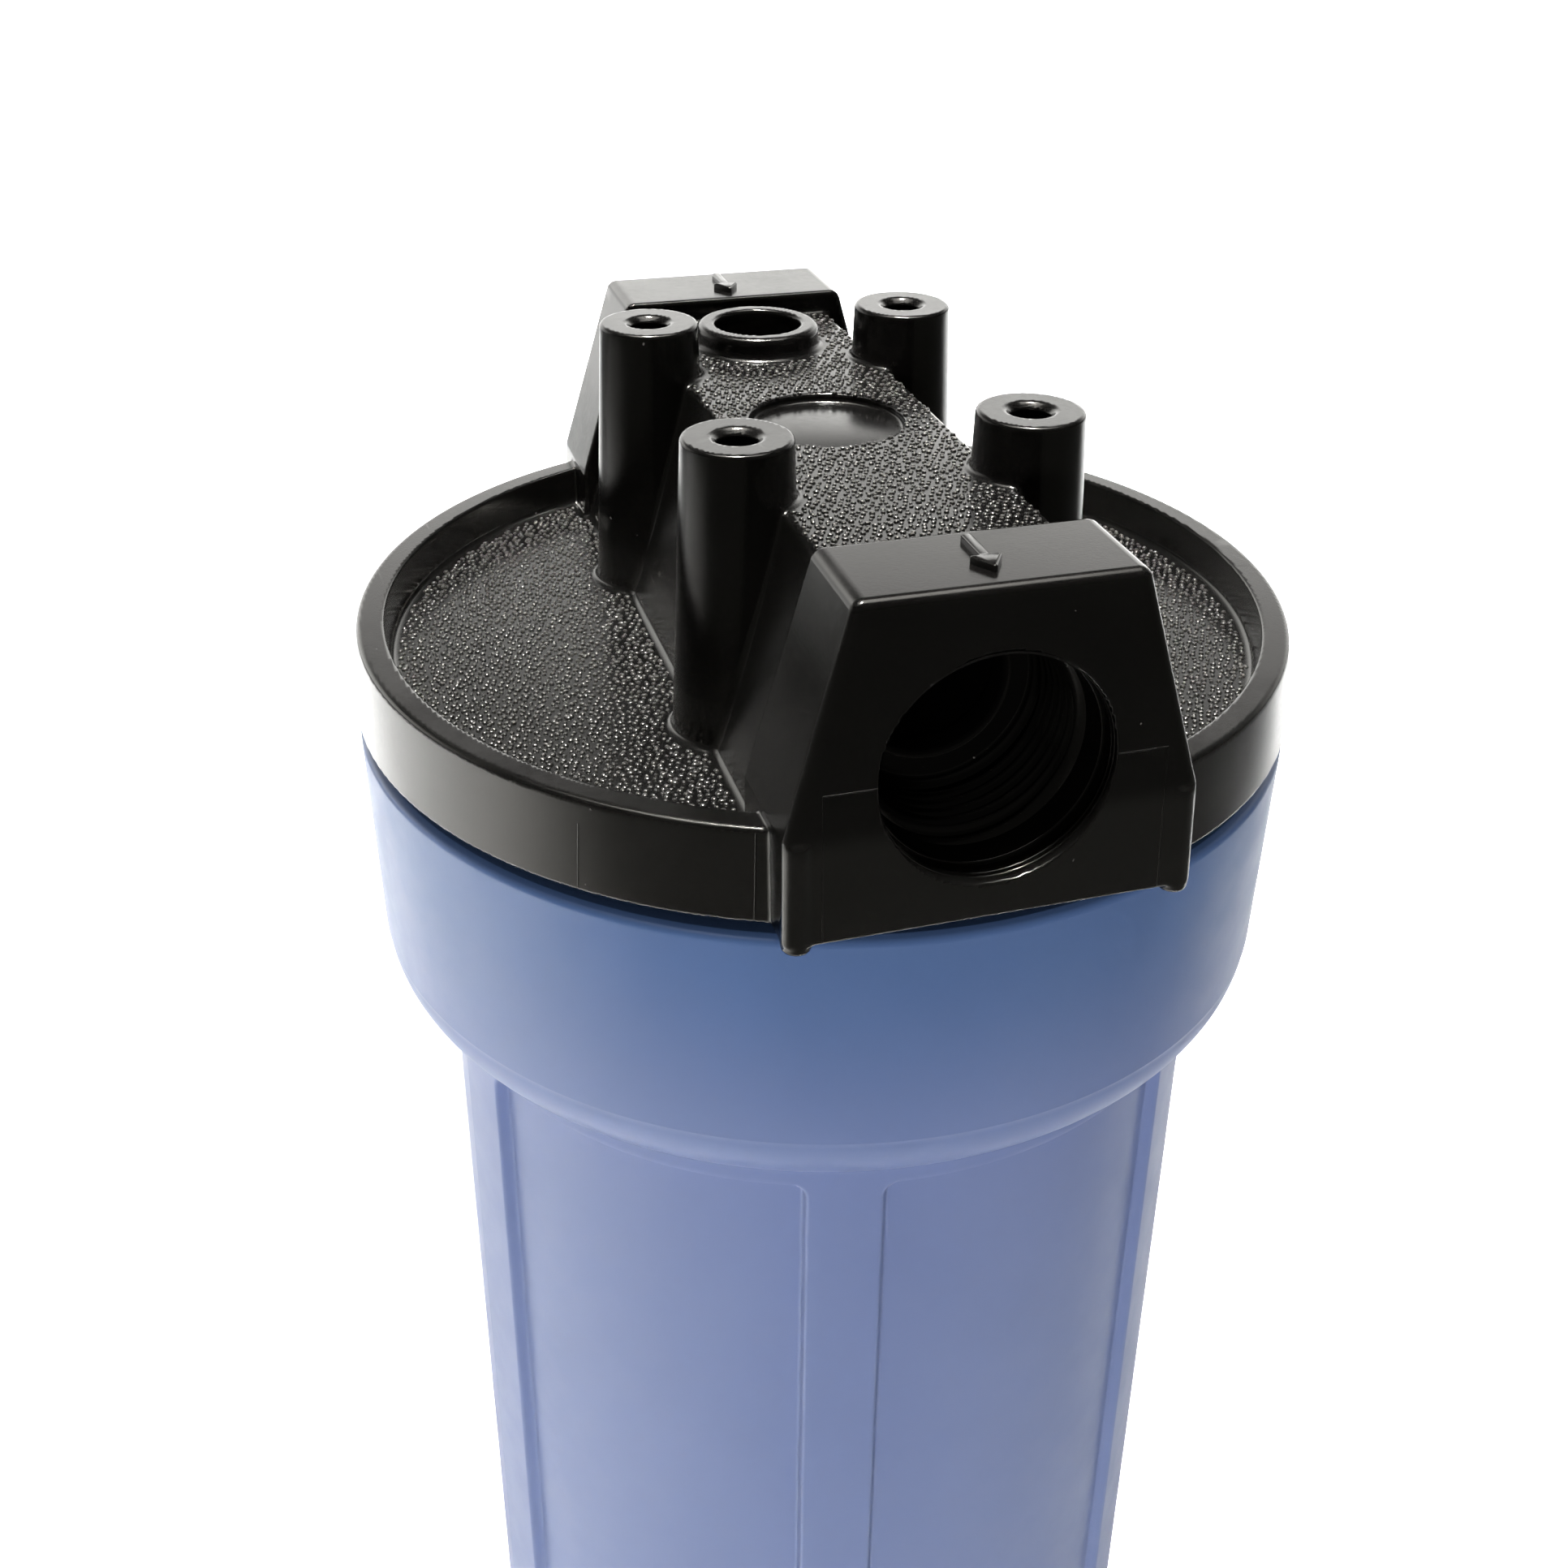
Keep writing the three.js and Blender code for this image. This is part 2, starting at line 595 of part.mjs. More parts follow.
function core() {
  let body = tube(CARTRIDGE_BORE_R, CORE_OUTER_R, INNER_LOW, INNER_HIGH, SMALL_ROUND);
  const rowPitch = (INNER_HIGH - INNER_LOW) / CORE_ROWS;
  const slot = new THREE.BoxGeometry(2 * CORE_OUTER_R + 4, 4.4, 10);
  for (let row = 0; row < CORE_ROWS; row += 1) {
    const z = INNER_LOW + rowPitch * (row + 0.5);
    for (let i = 0; i < CORE_HOLES_ROUND / 2; i += 1) {
      const turn = i * 360 / CORE_HOLES_ROUND;
      body = body.subtract(solid(slot).rotate([0, 0, turn]).translate([0, 0, z]));
    }
  }
  return piece('cartridge_core', body, whitePlastic);
}

// One zigzag sheet of filter media, closed into a ring.
function pleatedMedia() {
  const outer = [];
  const inner = [];
  for (let i = 0; i < PLEATS * 2; i += 1) {
    const angle = Math.PI * i / PLEATS;
    const outwards = i % 2 === 0;
    const outerR = outwards ? PLEAT_OUTER_R : PLEAT_INNER_R + 2.2 * MEDIA_THICK;
    const innerR = outwards ? PLEAT_OUTER_R - 6 * MEDIA_THICK : PLEAT_INNER_R;
    outer.push(new THREE.Vector2(outerR * Math.cos(angle), outerR * Math.sin(angle)));
    inner.push(new THREE.Vector2(innerR * Math.cos(angle), innerR * Math.sin(angle)));
  }
  const shape = new THREE.Shape(outer);
  shape.holes.push(new THREE.Path(inner));
  const geometry = new THREE.ExtrudeGeometry(shape, { depth: INNER_HIGH - INNER_LOW, bevelEnabled: false });
  geometry.translate(0, 0, INNER_LOW);
  return piece('pleated_media', solid(geometry), filterMedia);
}

function outerNet() {
  return piece('outer_net', tube(NET_INNER_R, NET_OUTER_R, INNER_LOW, INNER_HIGH, 32), netPlastic);
}

// ---------------------------------------------------------------- assembly

const housing = new THREE.Group();
housing.add(cap());
housing.add(sumpRing());
housing.add(reliefButton());
housing.add(reliefStem());
housing.add(reliefRing());
housing.add(reliefSpring());
housing.add(sump());

const cartridge = new THREE.Group();
cartridge.add(gasket('cartridge_bottom_gasket', CARTRIDGE_BOTTOM_Z));
cartridge.add(gasket('cartridge_top_gasket', CARTRIDGE_TOP_Z - GASKET_THICK));
cartridge.add(endCap('cartridge_bottom_cap', false));
cartridge.add(endCap('cartridge_top_cap', true));
cartridge.add(core());
cartridge.add(pleatedMedia());
cartridge.add(outerNet());
housing.add(cartridge);

export default housing;
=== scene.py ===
import math

import bmesh
import bpy
import numpy as np
from mathutils import Matrix, Vector


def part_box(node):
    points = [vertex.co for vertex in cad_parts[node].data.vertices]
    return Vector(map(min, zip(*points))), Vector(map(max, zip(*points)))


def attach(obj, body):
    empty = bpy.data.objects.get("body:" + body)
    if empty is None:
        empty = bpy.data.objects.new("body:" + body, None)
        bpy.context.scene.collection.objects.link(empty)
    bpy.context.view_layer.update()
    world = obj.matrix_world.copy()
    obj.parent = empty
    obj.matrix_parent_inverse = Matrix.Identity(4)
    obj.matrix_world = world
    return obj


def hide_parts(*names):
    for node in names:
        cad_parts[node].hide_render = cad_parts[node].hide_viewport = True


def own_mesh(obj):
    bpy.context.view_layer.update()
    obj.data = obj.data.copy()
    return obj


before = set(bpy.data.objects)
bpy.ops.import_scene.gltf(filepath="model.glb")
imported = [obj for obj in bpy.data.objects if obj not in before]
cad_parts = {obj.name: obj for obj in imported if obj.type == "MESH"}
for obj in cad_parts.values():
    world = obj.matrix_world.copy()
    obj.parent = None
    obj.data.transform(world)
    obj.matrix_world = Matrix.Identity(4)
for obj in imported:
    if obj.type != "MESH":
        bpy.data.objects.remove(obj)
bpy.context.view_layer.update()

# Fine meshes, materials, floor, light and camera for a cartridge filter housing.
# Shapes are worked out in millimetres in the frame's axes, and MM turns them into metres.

MM = 0.001

# ---------------------------------------------------------------- driving dimensions

POST_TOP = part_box("cap")[1].z / MM
RIM_Z = POST_TOP - 31.5
RIM_R = 61.0
DISH_R = 57.5
FLOOR_Z = RIM_Z - 5.5
PLATE_Z = RIM_Z - 11.3
SKIRT_LEAN = 0.0708

RIDGE_TOP = RIM_Z + 24
RIDGE_HALF = 14.2
BLOCK_TOP = RIM_Z + 27.2
BLOCK_HALF = 16.2
BLOCK_WIDEST = 23.58
SIDE_SLOPE = 0.2824
BLOCK_START_Y = 46.0
BLOCK_END_Y = 60.5
FACE_DRAFT = 0.0466
COLUMN_R = 1.7
COLUMN_X = 21.9
COLUMN_Y = 60.9
COLUMN_TOP = RIM_Z + 1
COLUMN_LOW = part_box("sump")[1].z / MM + 1.2

PORT_Z = RIM_Z + 6.3
PORT_FACE_Y = BLOCK_END_Y + (BLOCK_TOP - PORT_Z) * FACE_DRAFT
PORT_MOUTH_R = 13.4
PORT_MOUTH_DEPTH = 3.4
PORT_ROOT_R = 13.05
PORT_CREST_R = 12.05
PORT_PITCH = 1.814
PORT_THREAD_START = 6.4
PORT_THREAD_END = 19.0
PORT_DEPTH = 21.0
PASSAGE_R = 9.0
PASSAGE_END = 42.5
INSERT_HALF = 19.4
LINE_SIZE = (0.07, 0.1)

POST_X = 18.1
POST_Y = 23.0
POST_R = 6.6
POST_DRAFT = 0.035
SCREW_HOLE_R = 2.4
SCREW_HOLE_DEPTH = 20.0
SCREW_MOUTH_R = 3.1
RECESS_R = 10.0
RECESS_DEPTH = 1.2
RECESS_CROWN = 0.3

VALVE_Y = 33.2
BOSS_R = 8.65
VALVE_BORE_R = 6.1
VALVE_BORE_FLOOR = RIM_Z + 17.3
STEM_HOLE_R = 2.3
SEAT_Z = RIM_Z + 15.6
SEAT_R = 4.6
INLET_DROP_Y = 38.5
INLET_DROP_R = 5.8

# the sump's thread, seal groove and the knife edges that press on the cartridge's gaskets
THREAD_TOP = RIM_Z - 15.5
THREAD_PITCH = 6.0
THREAD_TURNS = 2.2
THREAD_STEPS = 96
THREAD_FADE = 0.12
GROOVE_Z = RIM_Z - 37.5
KNIFE_R = (16.4, 17.7, 18.0, 18.3, 19.6)
CORE_R = 14.3
GAP = 0.3

GRID = 0.45


# ---------------------------------------------------------------- mesh helpers

def new_object(name, vertices, faces):
    """A mesh object from vertices in millimetres."""
    mesh = bpy.data.meshes.new(name)
    points = (np.asarray(vertices, float) * MM).tolist()
    mesh.from_pydata(points, [], [list(face) for face in faces])
    mesh.validate()
    mesh.shade_smooth()
    item = bpy.data.objects.new(name, mesh)
    bpy.context.scene.collection.objects.link(item)
    return item


def place(item, material, body, slot, *nodes, sharp=35):
    """Gives a piece its material and body, and lets it stand for CAD nodes; the slot is not used."""
    if sharp:
        item.data.set_sharp_from_angle(angle=math.radians(sharp))
    item.data.materials.clear()
    item.data.materials.append(material)
    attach(item, body)
    if nodes:
        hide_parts(*nodes)
    return item


def joined(*shells):
    """One list of vertices and faces from several."""
    vertices, faces = [], []
    for points, polygons in shells:
        start = len(vertices)
        vertices.extend([tuple(point) for point in points])
        faces.extend([[start + index for index in polygon] for polygon in polygons])
    return vertices, faces


def lathe(profile, segments, centre=(0.0, 0.0), closed=False):
    """A surface of revolution about an upright axis from (radius, height) points.
    An open profile starts and ends on the axis; a closed one is a ring's section."""
    angles = np.linspace(0, 2 * math.pi, segments, endpoint=False)
    vertices, rings = [], []
    for radius, height in profile:
        if radius < 1e-6:
            rings.append([len(vertices)])
            vertices.append((centre[0], centre[1], height))
            continue
        rings.append(list(range(len(vertices), len(vertices) + segments)))
        for angle in angles:
            vertices.append((centre[0] + radius * math.cos(angle),
                             centre[1] + radius * math.sin(angle), height))
    pairs = list(zip(rings, rings[1:]))
    if closed:
        pairs.append((rings[-1], rings[0]))
    faces = []
    for low, high in pairs:
        for i in range(segments):
            j = (i + 1) % segments
            if len(low) == 1:
                faces.append((low[0], high[j], high[i]))
            elif len(high) == 1:
                faces.append((low[i], low[j], high[0]))
            else:
                faces.append((low[i], low[j], high[j], high[i]))
    return vertices, faces


def arc(centre, radius, start, end, steps):
    """Points on an arc in the radius-height plane, angles in degrees."""
    angles = np.radians(np.linspace(start, end, steps + 1))
    return [(centre[0] + radius * math.cos(a), centre[1] + radius * math.sin(a)) for a in angles]


def rounded(corners, segments=4, closed=True):
    """An outline from (x, y, radius) corners, each corner with a radius rounded by an arc."""
    points = []
    count = len(corners)
    for i, (x, y, radius) in enumerate(corners):
        end = not closed and i in (0, count - 1)
        if radius <= 0 or end:
            points.append((x, y))
            continue
        here = np.array((x, y))
        back = np.array(corners[i - 1][:2]) - here
        ahead = np.array(corners[(i + 1) % count][:2]) - here
        back /= np.linalg.norm(back)
        ahead /= np.linalg.norm(ahead)
        half = 0.5 * math.acos(float(np.clip(back @ ahead, -1, 1)))
        reach = radius / math.tan(half)
        middle = here + (back + ahead) / np.linalg.norm(back + ahead) * radius / math.sin(half)
        first, last = here + back * reach - middle, here + ahead * reach - middle
        for step in range(segments + 1):
            share = step / segments
            spoke = first * (1 - share) + last * share
            points.append(tuple(middle + spoke / np.linalg.norm(spoke) * radius))
    return points


def helix(section, top_z, pitch, turns, steps, taper=0.0):
    """A right-hand helical bar about Z that winds downwards from +X, with closed ends.
    The section is (radius, height) points; taper is how many turns each end fades over."""
    count = round(turns * steps)
    vertices, faces = [], []
    width = len(section)
    for i in range(count + 1):
        turn = i / steps
        grow = 1.0
        if taper:
            grow = min(1.0, turn / taper, (turns - turn) / taper)
            grow = max(grow, 0.02)
        angle = -2 * math.pi * turn
        for radius, height in section:
            reach = section[0][0] + (radius - section[0][0]) * grow
            vertices.append((reach * math.cos(angle), reach * math.sin(angle),
                             top_z + height - pitch * turn))
    for i in range(count):
        for j in range(width):
            k = (j + 1) % width
            a, b = i * width + j, i * width + k
            faces.append((a, b, b + width, a + width))
    faces.append(tuple(reversed(range(width))))
    faces.append(tuple(range(count * width, count * width + width)))
    return vertices, faces


def closed_piece(name, *shells):
    """One object from closed shells, with every face turned to point out."""
    item = new_object(name, *joined(*shells))
    shape = bmesh.new()
    shape.from_mesh(item.data)
    bmesh.ops.recalc_face_normals(shape, faces=shape.faces)
    shape.to_mesh(item.data)
    shape.free()
    return item


def circle(radius, steps):
    """Sideways and upward offsets round a small circle."""
    return [(radius * math.cos(a), radius * math.sin(a))
            for a in np.linspace(0, 2 * math.pi, steps, endpoint=False)]


# ---------------------------------------------------------------- distance fields

def both(a, b, radius):
    """Intersection of two solids with the edge rounded."""
    inner = np.minimum(np.maximum(a, b), -radius)
    return inner + np.hypot(np.maximum(a + radius, 0), np.maximum(b + radius, 0))


def either(a, b, radius):
    """Union of two solids with a fillet between them."""
    outer = np.maximum(np.minimum(a, b), radius)
    return outer - np.hypot(np.maximum(radius - a, 0), np.maximum(radius - b, 0))


def disc_distance(r, z):
    down = RIM_Z - z
    disc = both(r - RIM_R - SKIRT_LEAN * down, z - RIM_Z, 0.6)
    disc = both(disc, PLATE_Z - z, 0.4)
    dish = both(r - DISH_R + 0.09 * down, FLOOR_Z - z, 1.0)
    return both(disc, -dish, 0.3)


def ridge_distance(ax, ay, z):
    side_cos = 1 / math.hypot(1, SIDE_SLOPE)
    side = (ax - RIDGE_HALF - SIDE_SLOPE * (RIDGE_TOP - z)) * side_cos
    ridge = both(side, z - RIDGE_TOP, 0.6)
    return np.maximum(np.maximum(ridge, ay - BLOCK_START_Y - 2), FLOOR_Z - 2 - z)


def block_distance(ax, ay, z):
    side_cos = 1 / math.hypot(1, SIDE_SLOPE)
    face_cos = 1 / math.hypot(1, FACE_DRAFT)
    side = np.maximum((ax - BLOCK_HALF - SIDE_SLOPE * (BLOCK_TOP - z)) * side_cos, ax - BLOCK_WIDEST)
    face = (ay - BLOCK_END_Y - FACE_DRAFT * (BLOCK_TOP - z)) * face_cos
    block = both(side, face, 1.1)
    block = both(block, z - BLOCK_TOP, 1.1)
    block = both(block, BLOCK_START_Y - ay, 0.5)
    return both(block, PLATE_Z - z, 0.35)


def column_distance(ax, ay, z):
    radius = COLUMN_R * (1 - 0.2 * (z - COLUMN_LOW) / (COLUMN_TOP - COLUMN_LOW))
    column = np.hypot(ax - COLUMN_X, ay - COLUMN_Y) - radius
    return both(both(column, z - COLUMN_TOP, 0.5), COLUMN_LOW - z, 0.5)


def port_distance(x, ay, z):
    """The plain hole that a pipe port's lining stands in."""
    port = np.hypot(x, z - PORT_Z)
    return np.maximum(port - PORT_MOUTH_R, PORT_FACE_Y - ay - PORT_DEPTH - 0.4)


def water_distance(x, y, z):
    """The passages between the ports and the inside."""
    port = np.hypot(x, z - PORT_Z)
    outlet = np.maximum(port - PASSAGE_R, np.maximum(y, -PASSAGE_END - y))
    riser = np.maximum(np.hypot(x, y) - PASSAGE_R, z - PORT_Z)
    inlet = np.maximum(port - PASSAGE_R, np.maximum(VALVE_Y - 6.2 - y, y - PASSAGE_END))
    drop = np.maximum(np.hypot(x, y - INLET_DROP_Y) - INLET_DROP_R, z - PORT_Z)
    return np.minimum(either(outlet, riser, 1.5), either(inlet, drop, 1.5))


def valve_distance(x, y, z):
    valve = np.hypot(x, y - VALVE_Y)
    stem = np.maximum(valve - STEM_HOLE_R, np.maximum(PORT_Z - z, z - VALVE_BORE_FLOOR - 1))
    seat = np.maximum(valve - SEAT_R, np.maximum(PORT_Z - z, z - SEAT_Z))
    return np.minimum(stem, seat)


def screw_distance(post, z):
    hole = np.maximum(post - SCREW_HOLE_R, POST_TOP - SCREW_HOLE_DEPTH - z)
    mouth = (post - SCREW_MOUTH_R + POST_TOP - z) * math.sqrt(0.5)
    return np.minimum(hole, np.maximum(mouth, POST_TOP - 1.6 - z))


def cap_distance(x, y, z):
    """Signed distance to the upper cap's surface, negative inside the plastic."""
    ax, ay, r = np.abs(x), np.abs(y), np.hypot(x, y)
    body = either(disc_distance(r, z), ridge_distance(ax, ay, z), 1.0)
    body = either(body, block_distance(ax, ay, z), 0.5)
    body = either(body, column_distance(ax, ay, z), 0.4)
    post = np.hypot(ax - POST_X, ay - POST_Y)
    post_side = post - POST_R - POST_DRAFT * (POST_TOP - z)
    post_body = np.maximum(both(post_side, z - POST_TOP, 0.45), FLOOR_Z - 2 - z)
    body = either(body, post_body, 0.8)
    boss = np.hypot(x, y - VALVE_Y)
    boss_body = np.maximum(both(boss - BOSS_R, z - BLOCK_TOP, 0.9), RIDGE_TOP - 4 - z)
    body = either(body, boss_body, 1.0)
    body = both(body, -np.maximum(boss - VALVE_BORE_R, VALVE_BORE_FLOOR - z), 0.45)
    crown = RECESS_CROWN * np.clip(1 - (r / 8) ** 2, 0, 1)
    body = both(body, -both(r - RECESS_R, RIDGE_TOP - RECESS_DEPTH + crown - z, 0.5), 0.35)
    body = both(body, -screw_distance(post, z), 0.2)
    body = both(body, -port_distance(x, ay, z), 0.22)
    body = np.maximum(body, -water_distance(x, y, z))
    return np.maximum(body, -valve_distance(x, y, z))


def gradient(distance, points, reach=0.04):
    """Unit-free slope of a distance field at points."""
    slope = np.empty_like(points)
    for axis in range(3):
        ahead, behind = points.copy(), points.copy()
        ahead[:, axis] += reach
        behind[:, axis] -= reach
        slope[:, axis] = (distance(*ahead.T) - distance(*behind.T)) / (2 * reach)
    return slope


def surface_net(distance, low, high, step):
    """Vertices and quads on the zero surface of a distance field, pulled onto it."""
    counts = [int(math.ceil((b - a) / step)) + 1 for a, b in zip(low, high)]
    axes = [(a + step * np.arange(n)).astype(np.float32) for a, n in zip(low, counts)]
    values = np.empty(counts, np.float32)
    slab = 24
    for start in range(0, counts[0], slab):
        grid = np.meshgrid(axes[0][start:start + slab], axes[1], axes[2], indexing="ij")
        values[start:start + slab] = distance(*grid)
    inside = values < 0
    corners = [(i, j, k) for i in (0, 1) for j in (0, 1) for k in (0, 1)]

    def shifted(array, i, j, k):
        nx, ny, nz = array.shape
        return array[i:nx - 1 + i, j:ny - 1 + j, k:nz - 1 + k]

    filled = sum(shifted(inside, *corner).astype(np.uint8) for corner in corners)
    mixed = (filled > 0) & (filled < 8)
    cells = np.argwhere(mixed)
    index = np.full(mixed.shape, -1, np.int64)
    index[mixed] = np.arange(len(cells))
    total = np.zeros((len(cells), 3))
    hits = np.zeros(len(cells))
    for first in corners:
        for axis in range(3):
            if first[axis]:
                continue
            second = list(first)
            second[axis] = 1
            a = values[tuple((cells + first).T)]
            b = values[tuple((cells + second).T)]
            crossing = (a < 0) != (b < 0)
            share = a[crossing] / (a[crossing] - b[crossing])
            point = np.tile(np.array(first, float), (len(share), 1))
            point[:, axis] += share
            total[crossing] += point
            hits[crossing] += 1
    points = np.array(low) + (cells + total / hits[:, None]) * step
    quads = []
    for axis in range(3):
        u, v = [a for a in range(3) if a != axis]
        start = [slice(None)] * 3
        ahead = [slice(None)] * 3
        start[axis], ahead[axis] = slice(0, -1), slice(1, None)
        for side in (u, v):
            start[side] = ahead[side] = slice(1, -1)
        a, b = inside[tuple(start)], inside[tuple(ahead)]
        places = np.argwhere(a != b)
        leaving = a[tuple(places.T)]
        places[:, u] += 1
        places[:, v] += 1
        around = []
        for du, dv in ((1, 1), (0, 1), (0, 0), (1, 0)):
            cell = places.copy()
            cell[:, u] -= du
            cell[:, v] -= dv
            around.append(index[tuple(cell.T)])
        ring = np.stack(around, 1)
        flip = leaving if axis == 1 else ~leaving
        ring[flip] = ring[flip][:, ::-1]
        quads.append(ring)
    for _ in range(4):
        slope = gradient(distance, points)
        move = slope * (distance(*points.T) / np.maximum((slope ** 2).sum(1), 0.25))[:, None]
        points -= np.clip(move, -step / 2, step / 2)
    return points, np.concatenate(quads)


# ---------------------------------------------------------------- cap

def merge_flat(item, patch, limit):
    """Merges faces that lie in one plane, within cubes of a given size, so that none grows large."""
    shape = bmesh.new()
    shape.from_mesh(item.data)
    cube = [tuple(math.floor(c / patch) for c in face.calc_center_median()) for face in shape.faces]
    shape.faces.index_update()
    for edge in shape.edges:
        sides = edge.link_faces
        edge.seam = len(sides) != 2 or cube[sides[0].index] != cube[sides[1].index]
    bmesh.ops.dissolve_limit(shape, angle_limit=math.radians(limit), verts=shape.verts,
                             edges=shape.edges, delimit={"SEAM"})
    for edge in shape.edges:
        edge.seam = False
    shape.to_mesh(item.data)
    shape.free()
    item.data.shade_smooth()


def cap_shell():
    """The cap above its underside, with its flat stretches cleaned of needless faces."""
    low = (-RIM_R - 2.1, -PORT_FACE_Y - 2.1, COLUMN_LOW - 1.1)
    high = (RIM_R + 2.1, PORT_FACE_Y + 2.1, POST_TOP + 1.1)
    points, quads = surface_net(cap_distance, low, high, GRID)
    item = new_object("cap_shell", points, quads.tolist())
    merge_flat(item, 8 * MM, 0.25)
    kept = np.empty(len(item.data.vertices) * 3)
    item.data.vertices.foreach_get("co", kept)
    slope = gradient(cap_distance, kept.reshape(-1, 3) / MM, 0.08)
    slope /= np.maximum(np.linalg.norm(slope, axis=1, keepdims=True), 1e-9)
    item.data.normals_split_custom_set_from_vertices(slope.tolist())
    return item


def pebbles():
    """Raised grains moulded on the cap's floor and on top of the ridge."""
    chance = np.random.default_rng(7)
    pitch = 1.02
    row_step = pitch * 0.866
    spots = []
    for row in range(int(2 * RIM_R / row_step) + 1):
        y = -RIM_R + row * row_step
        x = np.arange(-RIM_R, RIM_R, pitch) + (row % 2) * pitch / 2
        spots.append(np.stack([x, np.full(len(x), y)], 1))
    spots = np.concatenate(spots)
    spots += chance.uniform(-0.26, 0.26, spots.shape)
    sizes = chance.uniform(0.30, 0.47, len(spots))
    stretch = chance.uniform(0.85, 1.25, len(spots))
    turn = chance.uniform(0, math.pi, len(spots))
    clear = 1.1
    vertices, faces = [], []
    for level in (FLOOR_Z, RIDGE_TOP):
        free = cap_distance(spots[:, 0], spots[:, 1], np.full(len(spots), level + clear)) > clear - 0.02
        free &= np.abs(cap_distance(spots[:, 0], spots[:, 1], np.full(len(spots), level))) < 0.02
        for (x, y), size, long, spin in zip(spots[free], sizes[free], stretch[free], turn[free]):
            start = len(vertices)
            height = size * 0.62
            for share, lift in ((1.0, -0.08), (0.68, 0.74 * height)):
                for u, v in circle(size * share, 6):
                    u, v = u * long, v / long
                    vertices.append((x + u * math.cos(spin) - v * math.sin(spin),
                                     y + u * math.sin(spin) + v * math.cos(spin), level + lift))
            vertices.append((x, y, level + height))
            for i in range(6):
                a, b = start + i, start + (i + 1) % 6
                faces.append((a, b, b + 6, a + 6))
                faces.append((a + 6, b + 6, start + 12))
            faces.append(tuple(start + i for i in reversed(range(6))))
    return new_object("cap_pebble", vertices, faces)


def both_ports(shell):
    """A shell made about an upright axis from the mouth down, laid into the two ports."""
    points, faces = shell
    for end in (1, -1):
        yield [(x * end, end * (PORT_FACE_Y + z), PORT_Z + y) for x, y, z in points], faces


def port_lining():
    """The wall of each port: two fine rings at the mouth, a step, the bore and the inner shoulder."""
    inner = [(14.0, -PORT_MOUTH_DEPTH, 0), (PORT_ROOT_R + 0.05, -PORT_MOUTH_DEPTH, 0.15),
             (PORT_ROOT_R, -PORT_THREAD_END, 0.3), (PORT_CREST_R, -PORT_THREAD_END - 0.7, 0.3),
             (PORT_CREST_R, 0.6 - PORT_DEPTH, 0.4), (PASSAGE_R - 0.1, 0.6 - PORT_DEPTH, 0.8),
             (PASSAGE_R - 0.1, -PORT_DEPTH - 3, 0), (PASSAGE_R + 0.8, -PORT_DEPTH - 3, 0),
             (PASSAGE_R + 0.8, -PORT_DEPTH - 1, 0), (14.0, -PORT_DEPTH - 1, 0)]
    shells = list(both_ports(lathe(rounded(inner), 144, closed=True)))
    for depth in (0.75, 1.5):
        ring = [(PORT_MOUTH_R + 0.2, -depth - 0.16)] + arc((PORT_MOUTH_R, -depth), 0.14, 230, 130, 4)
        ring.append((PORT_MOUTH_R + 0.2, 0.16 - depth))
        shells.extend(both_ports(lathe(ring, 144, closed=True)))
    return closed_piece("cap_port_lining", *shells)


def bead(start, end, out, height, half_width):
    """A low half-round bar between two points of a surface that faces out."""
    start, end, out = (Vector(item) for item in (start, end, out))
    out.normalize()
    side = out.cross(end - start).normalized()
    vertices = []
    for middle in (start, end):
        vertices.append(middle - side * half_width - out * height)
        for angle in (180, 135, 90, 45, 0):
            turn = math.radians(angle)
            vertices.append(middle + side * half_width * math.cos(turn) + out * height * math.sin(turn))
        vertices.append(middle + side * half_width - out * height)
    count = len(vertices) // 2
    faces = [(i, (i + 1) % count, (i + 1) % count + count, i + count) for i in range(count)]
    faces.append(tuple(reversed(range(count))))
    faces.append(tuple(range(count, 2 * count)))
    return vertices, faces


def skirt_line(angle, top, foot, height, half_width):
    """A fine line down the skirt, at an angle from -Y towards -X."""
    ends = []
    for z in (top, foot):
        radius = RIM_R + SKIRT_LEAN * (RIM_Z - z)
        ends.append((-radius * math.sin(angle), -radius * math.cos(angle), z))
    return bead(*ends, (ends[0][0], ends[0][1], 0), height, half_width)


def mould_lines():
    """The fine lines that the mould's inserts leave round each port and on the skirt."""
    low = PLATE_Z + 0.4
    shells = []

    def on_face(x, z, end):
        return (x, end * (BLOCK_END_Y + FACE_DRAFT * (BLOCK_TOP - z)), z)

    for end in (1, -1):
        out = (0, end, -FACE_DRAFT)
        for side in (1, -1):
            corner = on_face(side * INSERT_HALF, PORT_Z, end)
            mouth = on_face(side * (PORT_MOUTH_R + 0.1), PORT_Z, end)
            shells.append(bead(mouth, corner, out, *LINE_SIZE))
            shells.append(bead(corner, on_face(side * INSERT_HALF, low, end), out, *LINE_SIZE))
            angle = math.asin((BLOCK_WIDEST + 1.3) / RIM_R)
            angle = side * (angle if end < 0 else math.pi - angle)
            shells.append(skirt_line(angle, RIM_Z - 0.6, low, *LINE_SIZE))
    shells.append(skirt_line(math.radians(43), RIM_Z - 3, low, 0.03, 0.12))
    return closed_piece("cap_mould_lines", *shells)


